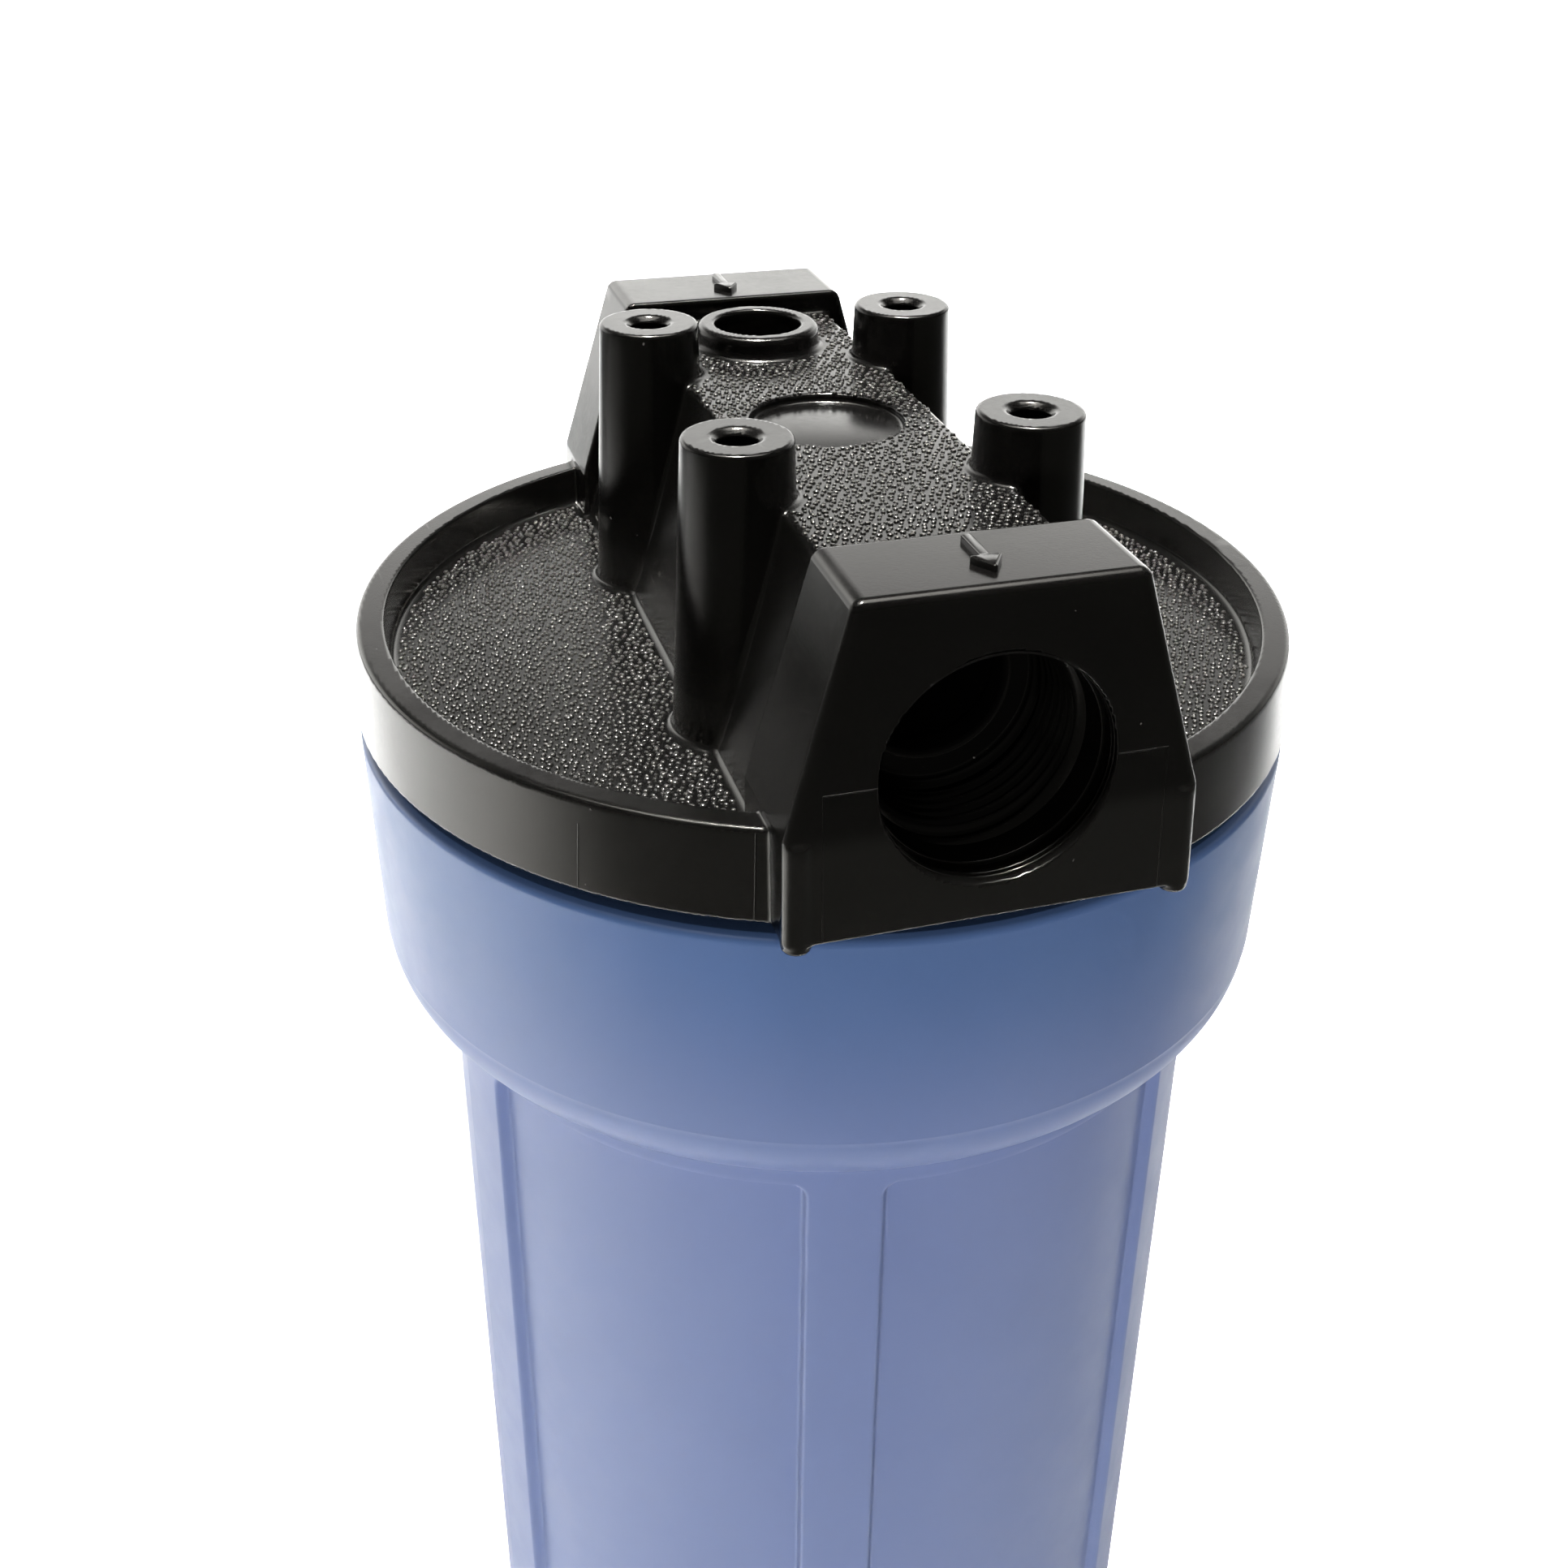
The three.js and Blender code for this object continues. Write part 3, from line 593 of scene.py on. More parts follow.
def port_threads():
    """The pipe thread inside each port."""
    section = [(PORT_ROOT_R + 0.3, -0.95), (PORT_ROOT_R + 0.3, 0.95), (PORT_ROOT_R - 0.05, 0.84),
               (PORT_CREST_R + 0.12, 0.22), (PORT_CREST_R, 0.0), (PORT_CREST_R + 0.12, -0.22),
               (PORT_ROOT_R - 0.05, -0.84)]
    turns = (PORT_THREAD_END - PORT_THREAD_START) / PORT_PITCH - 1
    thread = helix(section, -PORT_THREAD_START - 0.9, PORT_PITCH, turns, 56, 0.4)
    return closed_piece("cap_port_threads", *both_ports(thread))


def flow_arrows():
    """A plain raised arrow on each block that shows which way the water goes."""
    outline = [(-4.4, -0.62, 0.3), (1.2, -0.62, 0.2), (1.2, -2.0, 0.3), (4.6, 0.0, 0.3),
               (1.2, 2.0, 0.3), (1.2, 0.62, 0.2), (-4.4, 0.62, 0.3)]
    ring = np.array(rounded(outline, 3))
    middle_y = (BLOCK_START_Y + BLOCK_END_Y) / 2 - 0.4
    shells = []
    for side in (-1, 1):
        vertices, faces = [], []
        layers = ((0.0, -0.3), (0.0, 0.62), (0.096, 0.74), (0.24, 0.8))
        for inset, lift in layers:
            normal = np.roll(ring, -1, 0) - np.roll(ring, 1, 0)
            normal = np.stack([normal[:, 1], -normal[:, 0]], 1)
            normal /= np.linalg.norm(normal, axis=1, keepdims=True)
            for x, y in ring - normal * inset:
                vertices.append((y, side * middle_y - x, BLOCK_TOP + lift))
        count = len(ring)
        for layer in range(len(layers) - 1):
            for i in range(count):
                a, b = layer * count + i, layer * count + (i + 1) % count
                faces.append((a, b, b + count, a + count))
        faces.append(tuple(reversed(range(count))))
        faces.append(tuple(range((len(layers) - 1) * count, len(layers) * count)))
        shells.append((vertices, faces))
    return closed_piece("cap_flow_arrows", *shells)


def cap_spigot():
    """The ring under the cap that screws into the sump, with the standpipe and knife edge."""
    top = PLATE_Z + 0.3
    ring = rounded([(44.8, top, 0), (44.8, RIM_Z - 43.5, 0.5), (49.9, RIM_Z - 43.5, 0.3),
                    (50.9, RIM_Z - 42.5, 0.3), (50.9, GROOVE_Z - 2.1, 0.3), (47.8, GROOVE_Z - 2.1, 0.3),
                    (47.8, GROOVE_Z + 2.1, 0.3), (50.9, GROOVE_Z + 2.1, 0.3), (50.9, RIM_Z - 31.5, 0.3),
                    (52.3, RIM_Z - 31.5, 0.4), (52.3, top, 0)])
    pipe = rounded([(9, top, 0), (9, RIM_Z - 29.5, 0.6), (13.2, RIM_Z - 29.5, 0.6), (13.2, top, 0)])
    edge = RIM_Z - 19.2
    knife = list(zip(KNIFE_R, (top, edge, edge - 0.1, edge, top)))
    thread = rounded([(52.0, -1.9, 0), (54.5, -0.8, 0.3), (54.5, 0.8, 0.3), (52.0, 1.9, 0)], 3)
    thread = thread[-1:] + thread[:-1]
    shells = [lathe(ring, 128, closed=True), lathe(pipe, 64, closed=True), lathe(knife, 64, closed=True),
              helix(thread, THREAD_TOP, THREAD_PITCH, THREAD_TURNS, THREAD_STEPS, THREAD_FADE)]
    return closed_piece("cap_spigot", *shells)


# ---------------------------------------------------------------- sump

COLLAR_TOP_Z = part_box("sump")[1].z / MM
COLLAR_TOP_R = 61.6
CREASE_R = 60.4
CREASE_Z = RIM_Z - 42.1
COLLAR_ROUND_R = 9.0
COLLAR_ROUND_END = math.radians(62)
BODY_TOP_Z = RIM_Z - 54.5
BODY_TOP_R = 52.1
BODY_DRAFT = 0.0131
WALL = 4.6
LAND_R = 51.45
BASE_ROUND_R = 8.0
BASE_RING_INNER_R = 30.0
BASE_DISH = 2.0
FLOOR_THICK = 6.0
RIB_COUNT = 6
RIB_START_DEG = -103.5
RIB_FACE_HALF = 4.35
RIB_FLANK = 0.95
RIB_PROUD = 1.5
PANEL_TOP_Z = 225.2
PANEL_LOW_Z = 14.0
PANEL_CORNER = 2.2


def body_radius(z):
    return BODY_TOP_R - (BODY_TOP_Z - z) * BODY_DRAFT


def rib_angles():
    """Angles round the sump, close together across each rib's edges."""
    across = [0, 2.0, 3.4, 3.8, 4.05, 4.25, 4.45, 4.65, 4.85, 5.05, 5.25, 5.5, 5.9, 6.6, 7.6]
    offsets = sorted({-s for s in across} | set(across))
    pitch = 2 * math.pi / RIB_COUNT
    half_gap = pitch / 2 * BODY_TOP_R
    between = list(np.arange(9.0, half_gap - 0.5, 1.5))
    offsets = sorted(offsets + between + [-s for s in between] + [half_gap])
    angles, side = [], []
    for rib in range(RIB_COUNT):
        for offset in offsets:
            angles.append(math.radians(RIB_START_DEG) + rib * pitch + offset / BODY_TOP_R)
            side.append(abs(offset))
    return np.array(angles), np.array(side)


def smooth_step(share):
    share = np.clip(share, 0, 1)
    return share * share * (3 - 2 * share)


def frame_height(side, z):
    """How far the ribs and the bands above and below the panels stand proud of the panels."""
    into_side = side - RIB_FACE_HALF
    into_top = PANEL_TOP_Z - z
    into_low = z - PANEL_LOW_Z
    edge = np.minimum(into_top, into_low) + 0 * side
    deep = np.minimum(np.minimum(into_side, edge), PANEL_CORNER)
    corner = np.hypot(np.maximum(PANEL_CORNER - into_side, 0), np.maximum(PANEL_CORNER - edge, 0))
    within = np.where((into_side < PANEL_CORNER) & (edge < PANEL_CORNER), PANEL_CORNER - corner, deep)
    return RIB_PROUD * smooth_step(1 - within / RIB_FLANK)


def collar_radius(z):
    """The collar's rounded underside, carried on inwards below its end."""
    drop = CREASE_Z - z
    if drop <= 0:
        return CREASE_R
    steep = COLLAR_ROUND_R * math.sin(COLLAR_ROUND_END)
    if drop < steep:
        return CREASE_R - COLLAR_ROUND_R + math.sqrt(COLLAR_ROUND_R ** 2 - drop ** 2)
    end = CREASE_R - COLLAR_ROUND_R + COLLAR_ROUND_R * math.cos(COLLAR_ROUND_END)
    return end - (drop - steep) * math.tan(COLLAR_ROUND_END)


def sump_rows(side):
    """(radius at each angle, height) rows from the centre of the base, up the outside,
    over the rim and down the inside to the centre of the floor."""
    flat = np.ones_like(side)
    rows = []
    for radius, height in [(BASE_RING_INNER_R - 1.2, BASE_DISH), (BASE_RING_INNER_R - 0.8, BASE_DISH - 0.2),
                           (BASE_RING_INNER_R - 0.2, 0.2), (BASE_RING_INNER_R + 0.3, 0.0)]:
        rows.append((radius * flat, height))
    base_centre = body_radius(BASE_ROUND_R) - BASE_ROUND_R
    for radius, height in arc((base_centre, BASE_ROUND_R), BASE_ROUND_R, -90, 0, 14):
        rows.append((radius * flat, height))
    heights = [9.5, 10.5, 11.5, 12.2, 12.8, 13.2, 13.6, 14.0, 14.4, 14.8, 15.3, 16.0, 17.0]
    heights += list(np.linspace(24, 214, 12)) + [218, 220]
    heights += list(np.arange(221.2, PANEL_TOP_Z + 0.4, 0.3))
    heights += list(np.arange(PANEL_TOP_Z + 0.6, 230.2, 0.35))
    for z in heights:
        lift = frame_height(side, z) if z > 9 else 0 * side
        lift = lift * smooth_step((z - 9.2) / 3.0)
        outer = body_radius(z) + lift
        limit = collar_radius(z)
        blend = np.maximum(2.2 - np.abs(outer - limit), 0)
        rows.append((np.maximum(outer, limit) + blend ** 2 / 8.8, z))
    last = math.degrees(math.asin((heights[-1] + 0.5 - CREASE_Z) / COLLAR_ROUND_R))
    for radius, height in arc((CREASE_R - COLLAR_ROUND_R, CREASE_Z), COLLAR_ROUND_R, last, -3, 20):
        rows.append((radius * flat, height))
    upper = rounded([
        (CREASE_R - 0.02, CREASE_Z - 0.3, 0), (CREASE_R + 0.12, CREASE_Z + 0.05, 0.1),
        (COLLAR_TOP_R, COLLAR_TOP_Z - 0.4, 0.9), (COLLAR_TOP_R - 1.2, COLLAR_TOP_Z, 0.5),
        (56.4, COLLAR_TOP_Z, 0.4), (54.9, COLLAR_TOP_Z - 1.4, 0.4), (54.9, RIM_Z - 32.2, 0.5),
        (LAND_R + 0.8, RIM_Z - 32.4, 0.3), (LAND_R, RIM_Z - 33.8, 0.5), (LAND_R, RIM_Z - 46.5, 1.0),
        (BODY_TOP_R - WALL, BODY_TOP_Z, 2.0), (body_radius(20) - WALL, 20, 0)], 5, closed=False)
    for radius, height in upper[1:]:
        rows.append((radius * flat, height))
    floor_round = BASE_ROUND_R - 3
    floor_z = FLOOR_THICK + floor_round
    for radius, height in arc((body_radius(floor_z) - WALL - floor_round, floor_z), floor_round, 0, -90, 6):
        rows.append((radius * flat, height))
    return rows


def sump_shell():
    angles, side = rib_angles()
    rows = sump_rows(side)
    count = len(angles)
    vertices = [(0, 0, BASE_DISH)]
    for radius, height in rows:
        vertices += list(zip(radius * np.cos(angles), radius * np.sin(angles), [height] * count))
    vertices.append((0, 0, FLOOR_THICK))
    faces = []
    for row in range(len(rows) - 1):
        for i in range(count):
            a = 1 + row * count + i
            b = 1 + row * count + (i + 1) % count
            faces.append((a, b, b + count, a + count))
    end = 1 + (len(rows) - 1) * count
    for i in range(count):
        j = (i + 1) % count
        faces.append((0, 1 + j, 1 + i))
        faces.append((end + i, end + j, len(vertices) - 1))
    thread = [(55.2, -1.9), (55.2, 1.9), (53.1, 0.75), (52.9, 0.55), (52.9, -0.55), (53.1, -0.75)]
    points, strips = helix(thread, THREAD_TOP, THREAD_PITCH, THREAD_TURNS, THREAD_STEPS, THREAD_FADE)
    points = [(-x, -y, z) for x, y, z in points]
    foot = FLOOR_THICK - 0.5
    knife = list(zip(KNIFE_R, (foot, 11.6, 11.7, 11.6, foot)))
    locator = rounded([(0, foot, 0), (12.6, foot, 0), (11.4, 24, 1.0), (0, 24, 0)], 4, closed=False)
    return closed_piece("sump_shell", (vertices, faces), (points, strips), lathe(knife, 64, closed=True),
                        lathe(locator, 64))


# ---------------------------------------------------------------- seals and relief valve

def torus(name, centre, ring, wire, segments, sides):
    profile = [(ring + u, centre[2] + v) for u, v in circle(wire, sides)]
    return closed_piece(name, lathe(profile, segments, centre[:2], closed=True))


BUTTON_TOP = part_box("relief_button")[1].z / MM
BUTTON_THICK = 1.3
BUTTON_CROWN = 0.9
BUTTON_R = 5.6
SPRING_R = 4.6
SPRING_WIRE_R = 0.27
SPRING_TURNS = 2


def relief_button():
    head = BUTTON_TOP - BUTTON_THICK
    socket = BUTTON_TOP - BUTTON_CROWN
    hub_end = RIM_Z + 20.2
    profile = rounded([(0, socket, 0), (2.2, socket, 0.1), (2.2, hub_end, 0.1), (3.3, hub_end, 0.3),
                       (3.3, head, 0.2), (BUTTON_R, head, 0.3), (BUTTON_R, BUTTON_TOP, 0.5),
                       (4.4, BUTTON_TOP, 0.3), (3.8, BUTTON_TOP - 0.3, 0.3),
                       (0, BUTTON_TOP - 0.3, 0)], 4, closed=False)
    return closed_piece("relief_button_fine", lathe(profile, 64, (0, VALVE_Y)))


def relief_stem():
    flange = SEAT_Z - 2.2
    top = BUTTON_TOP - BUTTON_CROWN - GAP
    profile = rounded([(0, flange - 1.4, 0), (3.9, flange - 1.4, 0.3), (3.9, flange, 0.3),
                       (1.9, flange, 0.3), (1.9, top, 0.3), (0, top, 0)], 4, closed=False)
    return closed_piece("relief_stem_fine", lathe(profile, 48, (0, VALVE_Y)))


def relief_spring():
    low = VALVE_BORE_FLOOR + GAP + SPRING_WIRE_R
    high = BUTTON_TOP - BUTTON_THICK - GAP - SPRING_WIRE_R
    section = [(SPRING_R + u, v) for u, v in circle(SPRING_WIRE_R, 12)]
    points, faces = helix(section, high, (high - low) / SPRING_TURNS, SPRING_TURNS, 48)
    moved = [(x, y + VALVE_Y, z) for x, y, z in points]
    return closed_piece("relief_spring_fine", (moved, faces))


# ---------------------------------------------------------------- cartridge

def heights(node):
    """The lowest and highest point of a CAD node, in millimetres."""
    return [corner.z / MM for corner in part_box(node)]


def gasket(node):
    low, high = heights(node)
    section = rounded([(CORE_R, low, 0.5), (22.0, low, 0.5), (22.0, high, 0.5), (CORE_R, high, 0.5)], 4)
    return closed_piece(node + "_fine", lathe(section, 96, closed=True))


def end_cap(node, low_side):
    low, high = heights(node)
    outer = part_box(node)[1].x / MM
    section = rounded([(CORE_R, 0, 0.3), (outer, 0, 1.2), (outer, 8, 0.3), (30.8, 8, 0.3), (30.8, 4, 0.3),
                       (CORE_R, 4, 0.3)], 4)
    placed = [(r, low + z if low_side else high - z) for r, z in section]
    return closed_piece(node + "_fine", lathe(placed, 96, closed=True))


def pleats():
    """One folded sheet of filter media, its folds rounded, closed into a ring."""
    low, high = heights("pleated_media")
    count, steps = 40, 14
    outer, inner, thick = 29.5, 16.6, 0.55
    angles = np.linspace(0, 2 * math.pi, count * steps, endpoint=False)
    wave = np.cos(angles * count)
    soft = np.sign(wave) * np.abs(wave) ** 0.7
    middle_r = (outer + inner) / 2 + (outer - inner - thick) / 2 * soft
    line = np.stack([middle_r * np.cos(angles), middle_r * np.sin(angles)], 1)
    along = np.roll(line, -1, 0) - np.roll(line, 1, 0)
    across = np.stack([along[:, 1], -along[:, 0]], 1) / np.linalg.norm(along, axis=1, keepdims=True)
    loops = [(line + across * thick / 2, low), (line + across * thick / 2, high),
             (line - across * thick / 2, high), (line - across * thick / 2, low)]
    vertices, faces = [], []
    for ring, z in loops:
        vertices += [(x, y, z) for x, y in ring]
    total = len(line)
    for layer in range(4):
        for i in range(total):
            j = (i + 1) % total
            a, b = layer * total, ((layer + 1) % 4) * total
            faces.append((a + i, a + j, b + j, b + i))
    return closed_piece("pleated_media_fine", (vertices, faces))


def net():
    """A tubular net of crossing strands round the pleats."""
    low, high = heights("outer_net")
    strands, steps, sides = 30, 44, 6
    rise = high - low - 1.0
    shells = []
    for way in (-1, 1):
        radius = 30.2 + way * 0.12
        for strand in range(strands):
            vertices, faces = [], []
            for step in range(steps + 1):
                share = step / steps
                angle = 2 * math.pi * (strand / strands + way * share * 0.62)
                z = low + 0.5 + rise * share
                for side in range(sides):
                    spin = 2 * math.pi * side / sides
                    r = radius + 0.17 * math.cos(spin)
                    shift = 0.3 * math.sin(spin)
                    vertices.append((r * math.cos(angle) - shift * math.sin(angle),
                                     r * math.sin(angle) + shift * math.cos(angle), z))
            for step in range(steps):
                for side in range(sides):
                    a, b = step * sides + side, step * sides + (side + 1) % sides
                    faces.append((a, b, b + sides, a + sides))
            faces.append(tuple(reversed(range(sides))))
            faces.append(tuple(range(steps * sides, steps * sides + sides)))
            shells.append((vertices, faces))
    return closed_piece("outer_net_fine", *shells)


# ---------------------------------------------------------------- materials

class Graph:
    """A small helper that links the nodes of a material or of the world."""

    def __init__(self, owner):
        owner.use_nodes = True
        self.nodes = owner.node_tree.nodes
        self.links = owner.node_tree.links
        self.places = self.nodes.new("ShaderNodeTexCoord").outputs

    def part(self, place, axis):
        split = self.nodes.new("ShaderNodeSeparateXYZ")
        self.links.new(self.places[place], split.inputs["Vector"])
        return split.outputs[axis]

    def spread(self, value, low, high, out_low, out_high):
        node = self.nodes.new("ShaderNodeMapRange")
        node.interpolation_type = "SMOOTHSTEP"
        for key, number in zip(("From Min", "From Max", "To Min", "To Max"), (low, high, out_low, out_high)):
            node.inputs[key].default_value = number
        self.links.new(value, node.inputs["Value"])
        return node.outputs["Result"]

    def math(self, kind, a, b):
        node = self.nodes.new("ShaderNodeMath")
        node.operation = kind
        for socket, value in zip(node.inputs, (a, b)):
            if isinstance(value, (int, float)):
                socket.default_value = value
            else:
                self.links.new(value, socket)
        return node.outputs["Value"]


class Finish(Graph):
    """A Principled material from procedural nodes."""

    def __init__(self, name):
        self.material = bpy.data.materials.new(name)
        super().__init__(self.material)
        self.shader = self.nodes["Principled BSDF"]

    def set(self, **values):
        for key, value in values.items():
            self.shader.inputs[key.replace("_", " ")].default_value = value

    def noise(self, size, detail=3.0, rough=0.55, stretch=(1, 1, 1)):
        """Noise between 0 and 1 whose grains are about size millimetres."""
        scale = self.nodes.new("ShaderNodeMapping")
        scale.inputs["Scale"].default_value = [s / (size * MM) for s in stretch]
        self.links.new(self.places["Object"], scale.inputs["Vector"])
        texture = self.nodes.new("ShaderNodeTexNoise")
        texture.inputs["Scale"].default_value = 1.0
        texture.inputs["Detail"].default_value = detail
        texture.inputs["Roughness"].default_value = rough
        self.links.new(scale.outputs["Vector"], texture.inputs["Vector"])
        return texture.outputs["Fac"]

    def mix(self, share, first, second):
        node = self.nodes.new("ShaderNodeMix")
        node.data_type = "RGBA"
        self.links.new(share, node.inputs["Factor"])
        for socket, value in ((node.inputs[6], first), (node.inputs[7], second)):
            if isinstance(value, tuple):
                socket.default_value = (*value, 1)
            else:
                self.links.new(value, socket)
        return node.outputs[2]

    def feed(self, key, value):
        self.links.new(value, self.shader.inputs[key])

    def bump(self, height, depth):
        """Bump with a depth in millimetres."""
        node = self.nodes.new("ShaderNodeBump")
        node.inputs["Strength"].default_value = 1.0
        node.inputs["Distance"].default_value = depth * MM
        self.links.new(height, node.inputs["Height"])
        self.feed("Normal", node.outputs["Normal"])


def black_plastic(name, rough_low, rough_high, gloss):
    """Black moulded polypropylene, slightly uneven in gloss, with a few specks of dust. The steep
    walls above the rim shine less than the rest."""
    finish = Finish(name)
    cloud = finish.noise(14, 3)
    fine = finish.noise(0.9, 4)
    speck = finish.spread(finish.noise(1.6, 2, 0.6), 0.775, 0.80, 0, 1)
    tone = finish.mix(cloud, (0.0014, 0.0013, 0.0012), (0.0028, 0.0027, 0.0024))
    finish.feed("Base Color", finish.mix(speck, tone, (0.09, 0.085, 0.08)))
    uneven = finish.math("ADD", cloud, finish.math("MULTIPLY", fine, 0.5))
    finish.feed("Roughness", finish.spread(uneven, 0.5, 1.0, rough_low, rough_high))
    above = finish.spread(finish.part("Object", "Z"), (RIM_Z - 2) * MM, (RIM_Z + 3) * MM, 0, 1)
    level = finish.math("ABSOLUTE", finish.part("Normal", "Z"), 0)
    wall = finish.math("MULTIPLY", above, finish.spread(level, 0.5, 0.8, 1, 0))
    finish.feed("Specular IOR Level", finish.math("MULTIPLY", finish.spread(wall, 0, 1, 1, 0.35), gloss))
    finish.bump(finish.noise(0.35, 4, 0.6), 0.005)
    finish.set(Specular_Tint=(1.0, 0.965, 0.885, 1.0))
    return finish.material


def blue_plastic():
    """Blue moulded polypropylene, which passes some light. Its colour is graded by height as painted light:
    paler lower down for painted light through the wall, deeper up the collar for painted shade from the
    black parts behind it."""
    finish = Finish("blue_plastic")
    # painted shade: the deeper blue, used up the collar where the black spigot stands behind the wall
    deep = finish.mix(finish.noise(22, 3), (0.070, 0.128, 0.285), (0.080, 0.142, 0.310))
    # painted light: the paler blue, used lower down for light passing through the wall
    pale = finish.mix(finish.noise(18, 3), (0.150, 0.198, 0.385), (0.168, 0.216, 0.412))
    # height mask that blends the painted shade above into the painted light below
    share = finish.spread(finish.part("Object", "Z"), (CREASE_Z - 12) * MM, (COLLAR_TOP_Z - 2) * MM, 1, 0)
    finish.feed("Base Color", finish.mix(share, deep, pale))
    finish.feed("Roughness", finish.spread(finish.noise(6, 4), 0.3, 0.7, 0.34, 0.40))
    finish.bump(finish.noise(0.6, 3, 0.6), 0.006)
    finish.set(IOR=1.5)
    return finish.material


def rubber(name):
    finish = Finish(name)
    finish.feed("Base Color", finish.mix(finish.noise(3, 3), (0.008, 0.008, 0.008), (0.02, 0.02, 0.02)))
    finish.feed("Roughness", finish.spread(finish.noise(1.2, 3), 0.3, 0.7, 0.5, 0.75))
    finish.bump(finish.noise(0.3, 3), 0.01)
    return finish.material


def spring_steel():
    finish = Finish("spring_steel")
    finish.feed("Base Color", finish.mix(finish.noise(1.5, 2), (0.50, 0.50, 0.51), (0.68, 0.68, 0.67)))
    finish.feed("Roughness", finish.spread(finish.noise(0.4, 3, 0.6, (1, 1, 6)), 0.3, 0.7, 0.18, 0.26))
    finish.set(Metallic=1.0)
    return finish.material


def white_plastic():
    finish = Finish("white_plastic")
    finish.feed("Base Color", finish.mix(finish.noise(9, 3), (0.74, 0.75, 0.73), (0.82, 0.82, 0.80)))
    finish.feed("Roughness", finish.spread(finish.noise(2, 3), 0.3, 0.7, 0.42, 0.55))
    finish.bump(finish.noise(0.8, 3), 0.008)
    return finish.material


def filter_media():
    """Spun polyester felt: fibres, slight shade changes and a soft sheen."""
    finish = Finish("filter_media")
    fibre = finish.noise(0.25, 5, 0.7, (1, 1, 0.25))
    finish.feed("Base Color", finish.mix(fibre, (0.72, 0.71, 0.66), (0.88, 0.87, 0.83)))
    finish.feed("Roughness", finish.spread(fibre, 0.3, 0.7, 0.85, 0.98))
    finish.bump(fibre, 0.06)
    finish.set(Sheen_Weight=0.3)
    return finish.material


def net_plastic():
    finish = Finish("net_plastic")
    finish.feed("Base Color", finish.mix(finish.noise(4, 3), (0.70, 0.74, 0.77), (0.80, 0.83, 0.85)))
    finish.feed("Roughness", finish.spread(finish.noise(1, 3), 0.3, 0.7, 0.45, 0.65))
    finish.bump(finish.noise(0.5, 3), 0.01)
    return finish.material


# ---------------------------------------------------------------- floor, light and camera

def floor():
    """A large pale floor. It stays under the sump, which goes down as it unscrews."""
    reach, back, z = 30.0 / MM, 1.5 / MM, -0.2
    corners = [(-reach, -reach, z), (reach, -reach, z), (reach, back, z), (-reach, back, z)]
    item = new_object("studio_floor", corners, [(0, 1, 2, 3)])
    finish = Finish("studio_floor")
    finish.feed("Base Color", finish.mix(finish.noise(900, 2), (0.80, 0.80, 0.79), (0.84, 0.84, 0.83)))
    finish.set(Roughness=0.85, Specular_IOR_Level=0.1)
    item.data.materials.append(finish.material)
    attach(item, "cartridge")


def area_light(name, place, target, size, energy, spread, mirrored=True, lights=True):
    """A soft rectangular light. One that is not mirrored stays out of glossy reflections, and
    one that does not light is seen in them only."""
    lamp = bpy.data.lights.new(name, "AREA")
    lamp.shape = "RECTANGLE"
    lamp.size, lamp.size_y = size
    lamp.energy = energy
    lamp.spread = math.radians(spread)
    item = bpy.data.objects.new(name, lamp)
    item.visible_glossy = mirrored
    item.visible_diffuse = lights
    bpy.context.scene.collection.objects.link(item)
    item.location = place
    item.rotation_mode = "QUATERNION"
    item.rotation_quaternion = (Vector(target) - Vector(place)).to_track_quat("-Z", "Y")


def sky():
    """A dim room with a bright white band low behind the object."""
    world = bpy.data.worlds.new("studio")
    bpy.context.scene.world = world
    room = Graph(world)
    behind = room.spread(room.part("Generated", "Y"), 0.05, 0.75, 0.0, 1.0)
    low = room.spread(room.part("Generated", "Z"), 0.33, 0.50, 1.0, 0.02)
    band = room.math("MULTIPLY", room.math("MULTIPLY", behind, low), 2.8)
    background = room.nodes["Background"]
    room.links.new(room.math("ADD", band, 0.045), background.inputs["Strength"])
    background.inputs["Color"].default_value = (1.0, 0.995, 0.97, 1)


LENS = 43.66
SHIFT = (-0.0253, -0.1247)
ELEVATION, AZIMUTH, ROLL = math.radians(24.70), math.radians(-17.84), math.radians(1.1)
DISTANCE = 4.171 * RIM_R * MM


def camera():
    """The camera looks past the rim's centre from above the outlet port."""
    data = bpy.data.cameras.new("camera")
    data.sensor_width = 36.0
    data.lens = LENS
    data.shift_x, data.shift_y = SHIFT
    data.clip_start, data.clip_end = 0.01, 200.0
    item = bpy.data.objects.new("camera", data)
    bpy.context.scene.collection.objects.link(item)
    bpy.context.scene.camera = item
    back = Vector((math.sin(AZIMUTH) * math.cos(ELEVATION), -math.cos(AZIMUTH) * math.cos(ELEVATION),
                   math.sin(ELEVATION)))
    right = (-back).cross(Vector((0, 0, 1))).normalized()
    up = right.cross(-back)
    x_axis = right * math.cos(ROLL) + up * math.sin(ROLL)
    y_axis = up * math.cos(ROLL) - right * math.sin(ROLL)
    item.location = Vector((0, 0, RIM_Z * MM)) + back * DISTANCE
    item.rotation_mode = "QUATERNION"
    item.rotation_quaternion = Matrix((x_axis, y_axis, back)).transposed().to_quaternion()


# ---------------------------------------------------------------- assembly

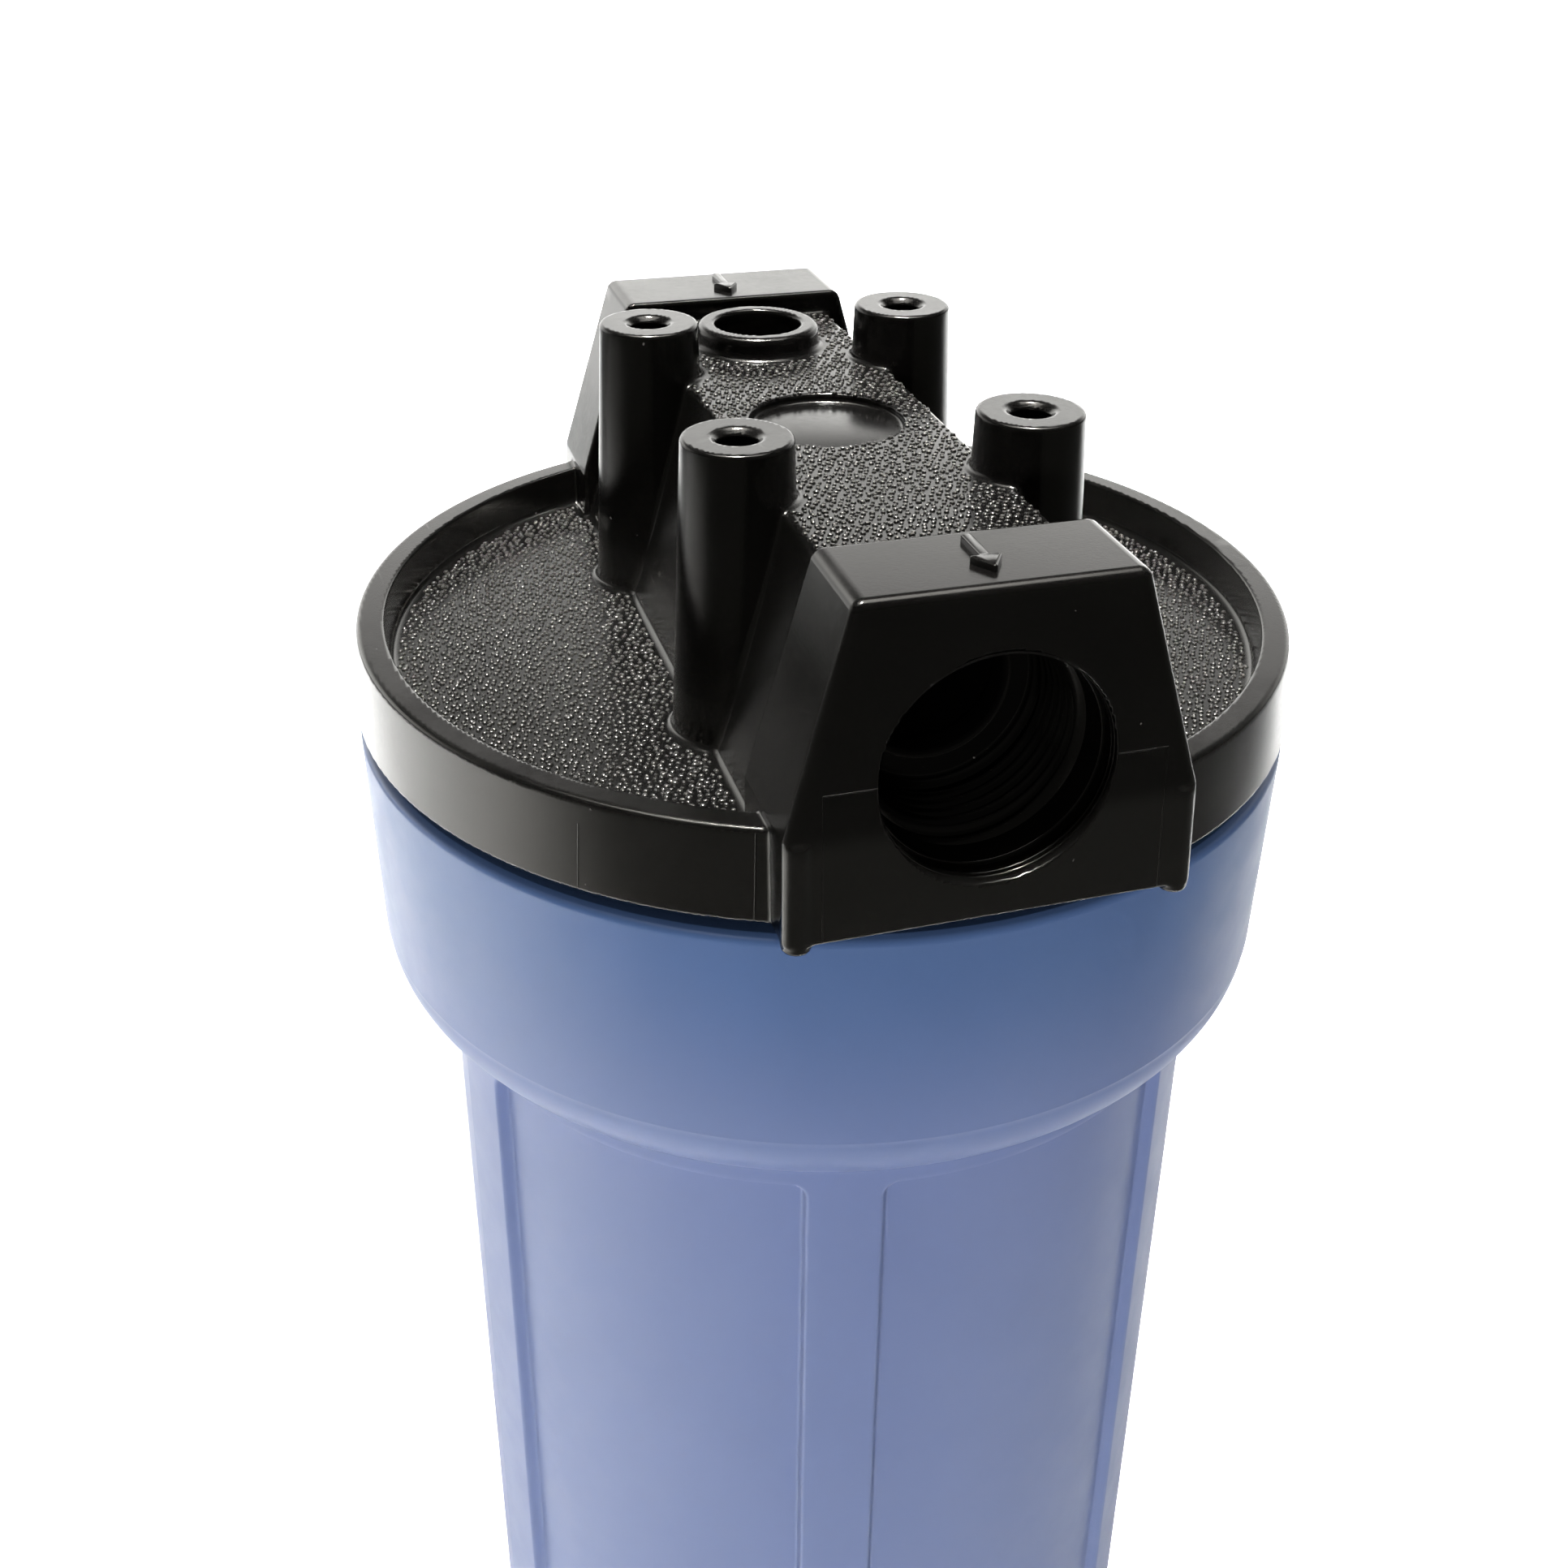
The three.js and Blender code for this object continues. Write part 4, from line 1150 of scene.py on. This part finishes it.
def build():
    smooth_black = black_plastic("black_plastic", 0.17, 0.25, 0.36)
    grained_black = black_plastic("grained_plastic", 0.29, 0.36, 0.9)
    button_black = black_plastic("button_plastic", 0.34, 0.48, 0.36)
    blue, steel, white = blue_plastic(), spring_steel(), white_plastic()
    ring_rubber, media, netting = rubber("rubber"), filter_media(), net_plastic()

    place(cap_shell(), smooth_black, "head", "black_plastic", "cap", sharp=0)
    place(pebbles(), grained_black, "head", "black_plastic", "cap", sharp=0)
    place(port_lining(), smooth_black, "head", "black_plastic", "cap", sharp=40)
    place(mould_lines(), smooth_black, "head", "black_plastic", "cap", sharp=60)
    place(port_threads(), smooth_black, "head", "black_plastic", "cap", sharp=50)
    place(flow_arrows(), smooth_black, "head", "black_plastic", "cap", sharp=50)
    place(cap_spigot(), smooth_black, "head", "black_plastic", "cap")
    place(sump_shell(), blue, "sump", "blue_plastic", "sump", sharp=50)

    place(torus("sump_o_ring_fine", (0, 0, GROOVE_Z), LAND_R - 1.8, 1.5, 160, 20), ring_rubber,
          "head", "rubber", "sump_o_ring", sharp=0)
    place(relief_button(), button_black, "relief_valve", "button_plastic", "relief_button")
    place(relief_stem(), white, "relief_valve", "white_plastic", "relief_stem")
    place(torus("relief_o_ring_fine", (0, VALVE_Y, SEAT_Z - 1.1), 3.1, 0.8, 64, 16), ring_rubber,
          "relief_valve", "rubber", "relief_o_ring", sharp=0)
    spring = place(relief_spring(), steel, "head", "spring_steel", "relief_spring", sharp=0)
    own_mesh(spring)

    for node in ("cartridge_bottom_gasket", "cartridge_top_gasket"):
        place(gasket(node), ring_rubber, "cartridge", "rubber", node)
    for node in ("cartridge_bottom_cap", "cartridge_top_cap"):
        place(end_cap(node, node == "cartridge_bottom_cap"), white, "cartridge", "white_plastic", node)
    place(pleats(), media, "cartridge", "filter_media", "pleated_media")
    place(net(), netting, "cartridge", "net_plastic", "outer_net")
    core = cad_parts["cartridge_core"]
    core.data.materials.clear()
    core.data.materials.append(white)


build()
floor()
sky()
area_light("floor_softbox", (0.45, 0.95, 1.3), (0.45, 0.95, 0.0), (1.65, 1.2), 35, 24)
area_light("left_softbox", (-0.57, 0.2, 1.3), (-0.57, 0.2, 0.0), (0.75, 0.65), 7, 24)
area_light("right_softbox", (0.32, 0.26, 1.3), (0.32, 0.26, 0.0), (0.32, 0.4), 2.6, 14)
area_light("front_fill", (-0.6, -3.0, 0.5), (0.0, 0.0, 0.2), (0.8, 0.3), 1.1, 20, mirrored=False)
area_light("near_floor", (0.0, -0.02, 1.3), (0.0, -0.02, 0.0), (0.36, 0.36), 1.9, 10)
area_light("overhead", (0.0, 0.0, 1.6), (0.0, 0.0, 0.0), (1.3, 0.8), 17, 180, lights=False)
camera()
bpy.context.scene.view_settings.view_transform = "Standard"
bpy.context.scene.view_settings.look = "None"
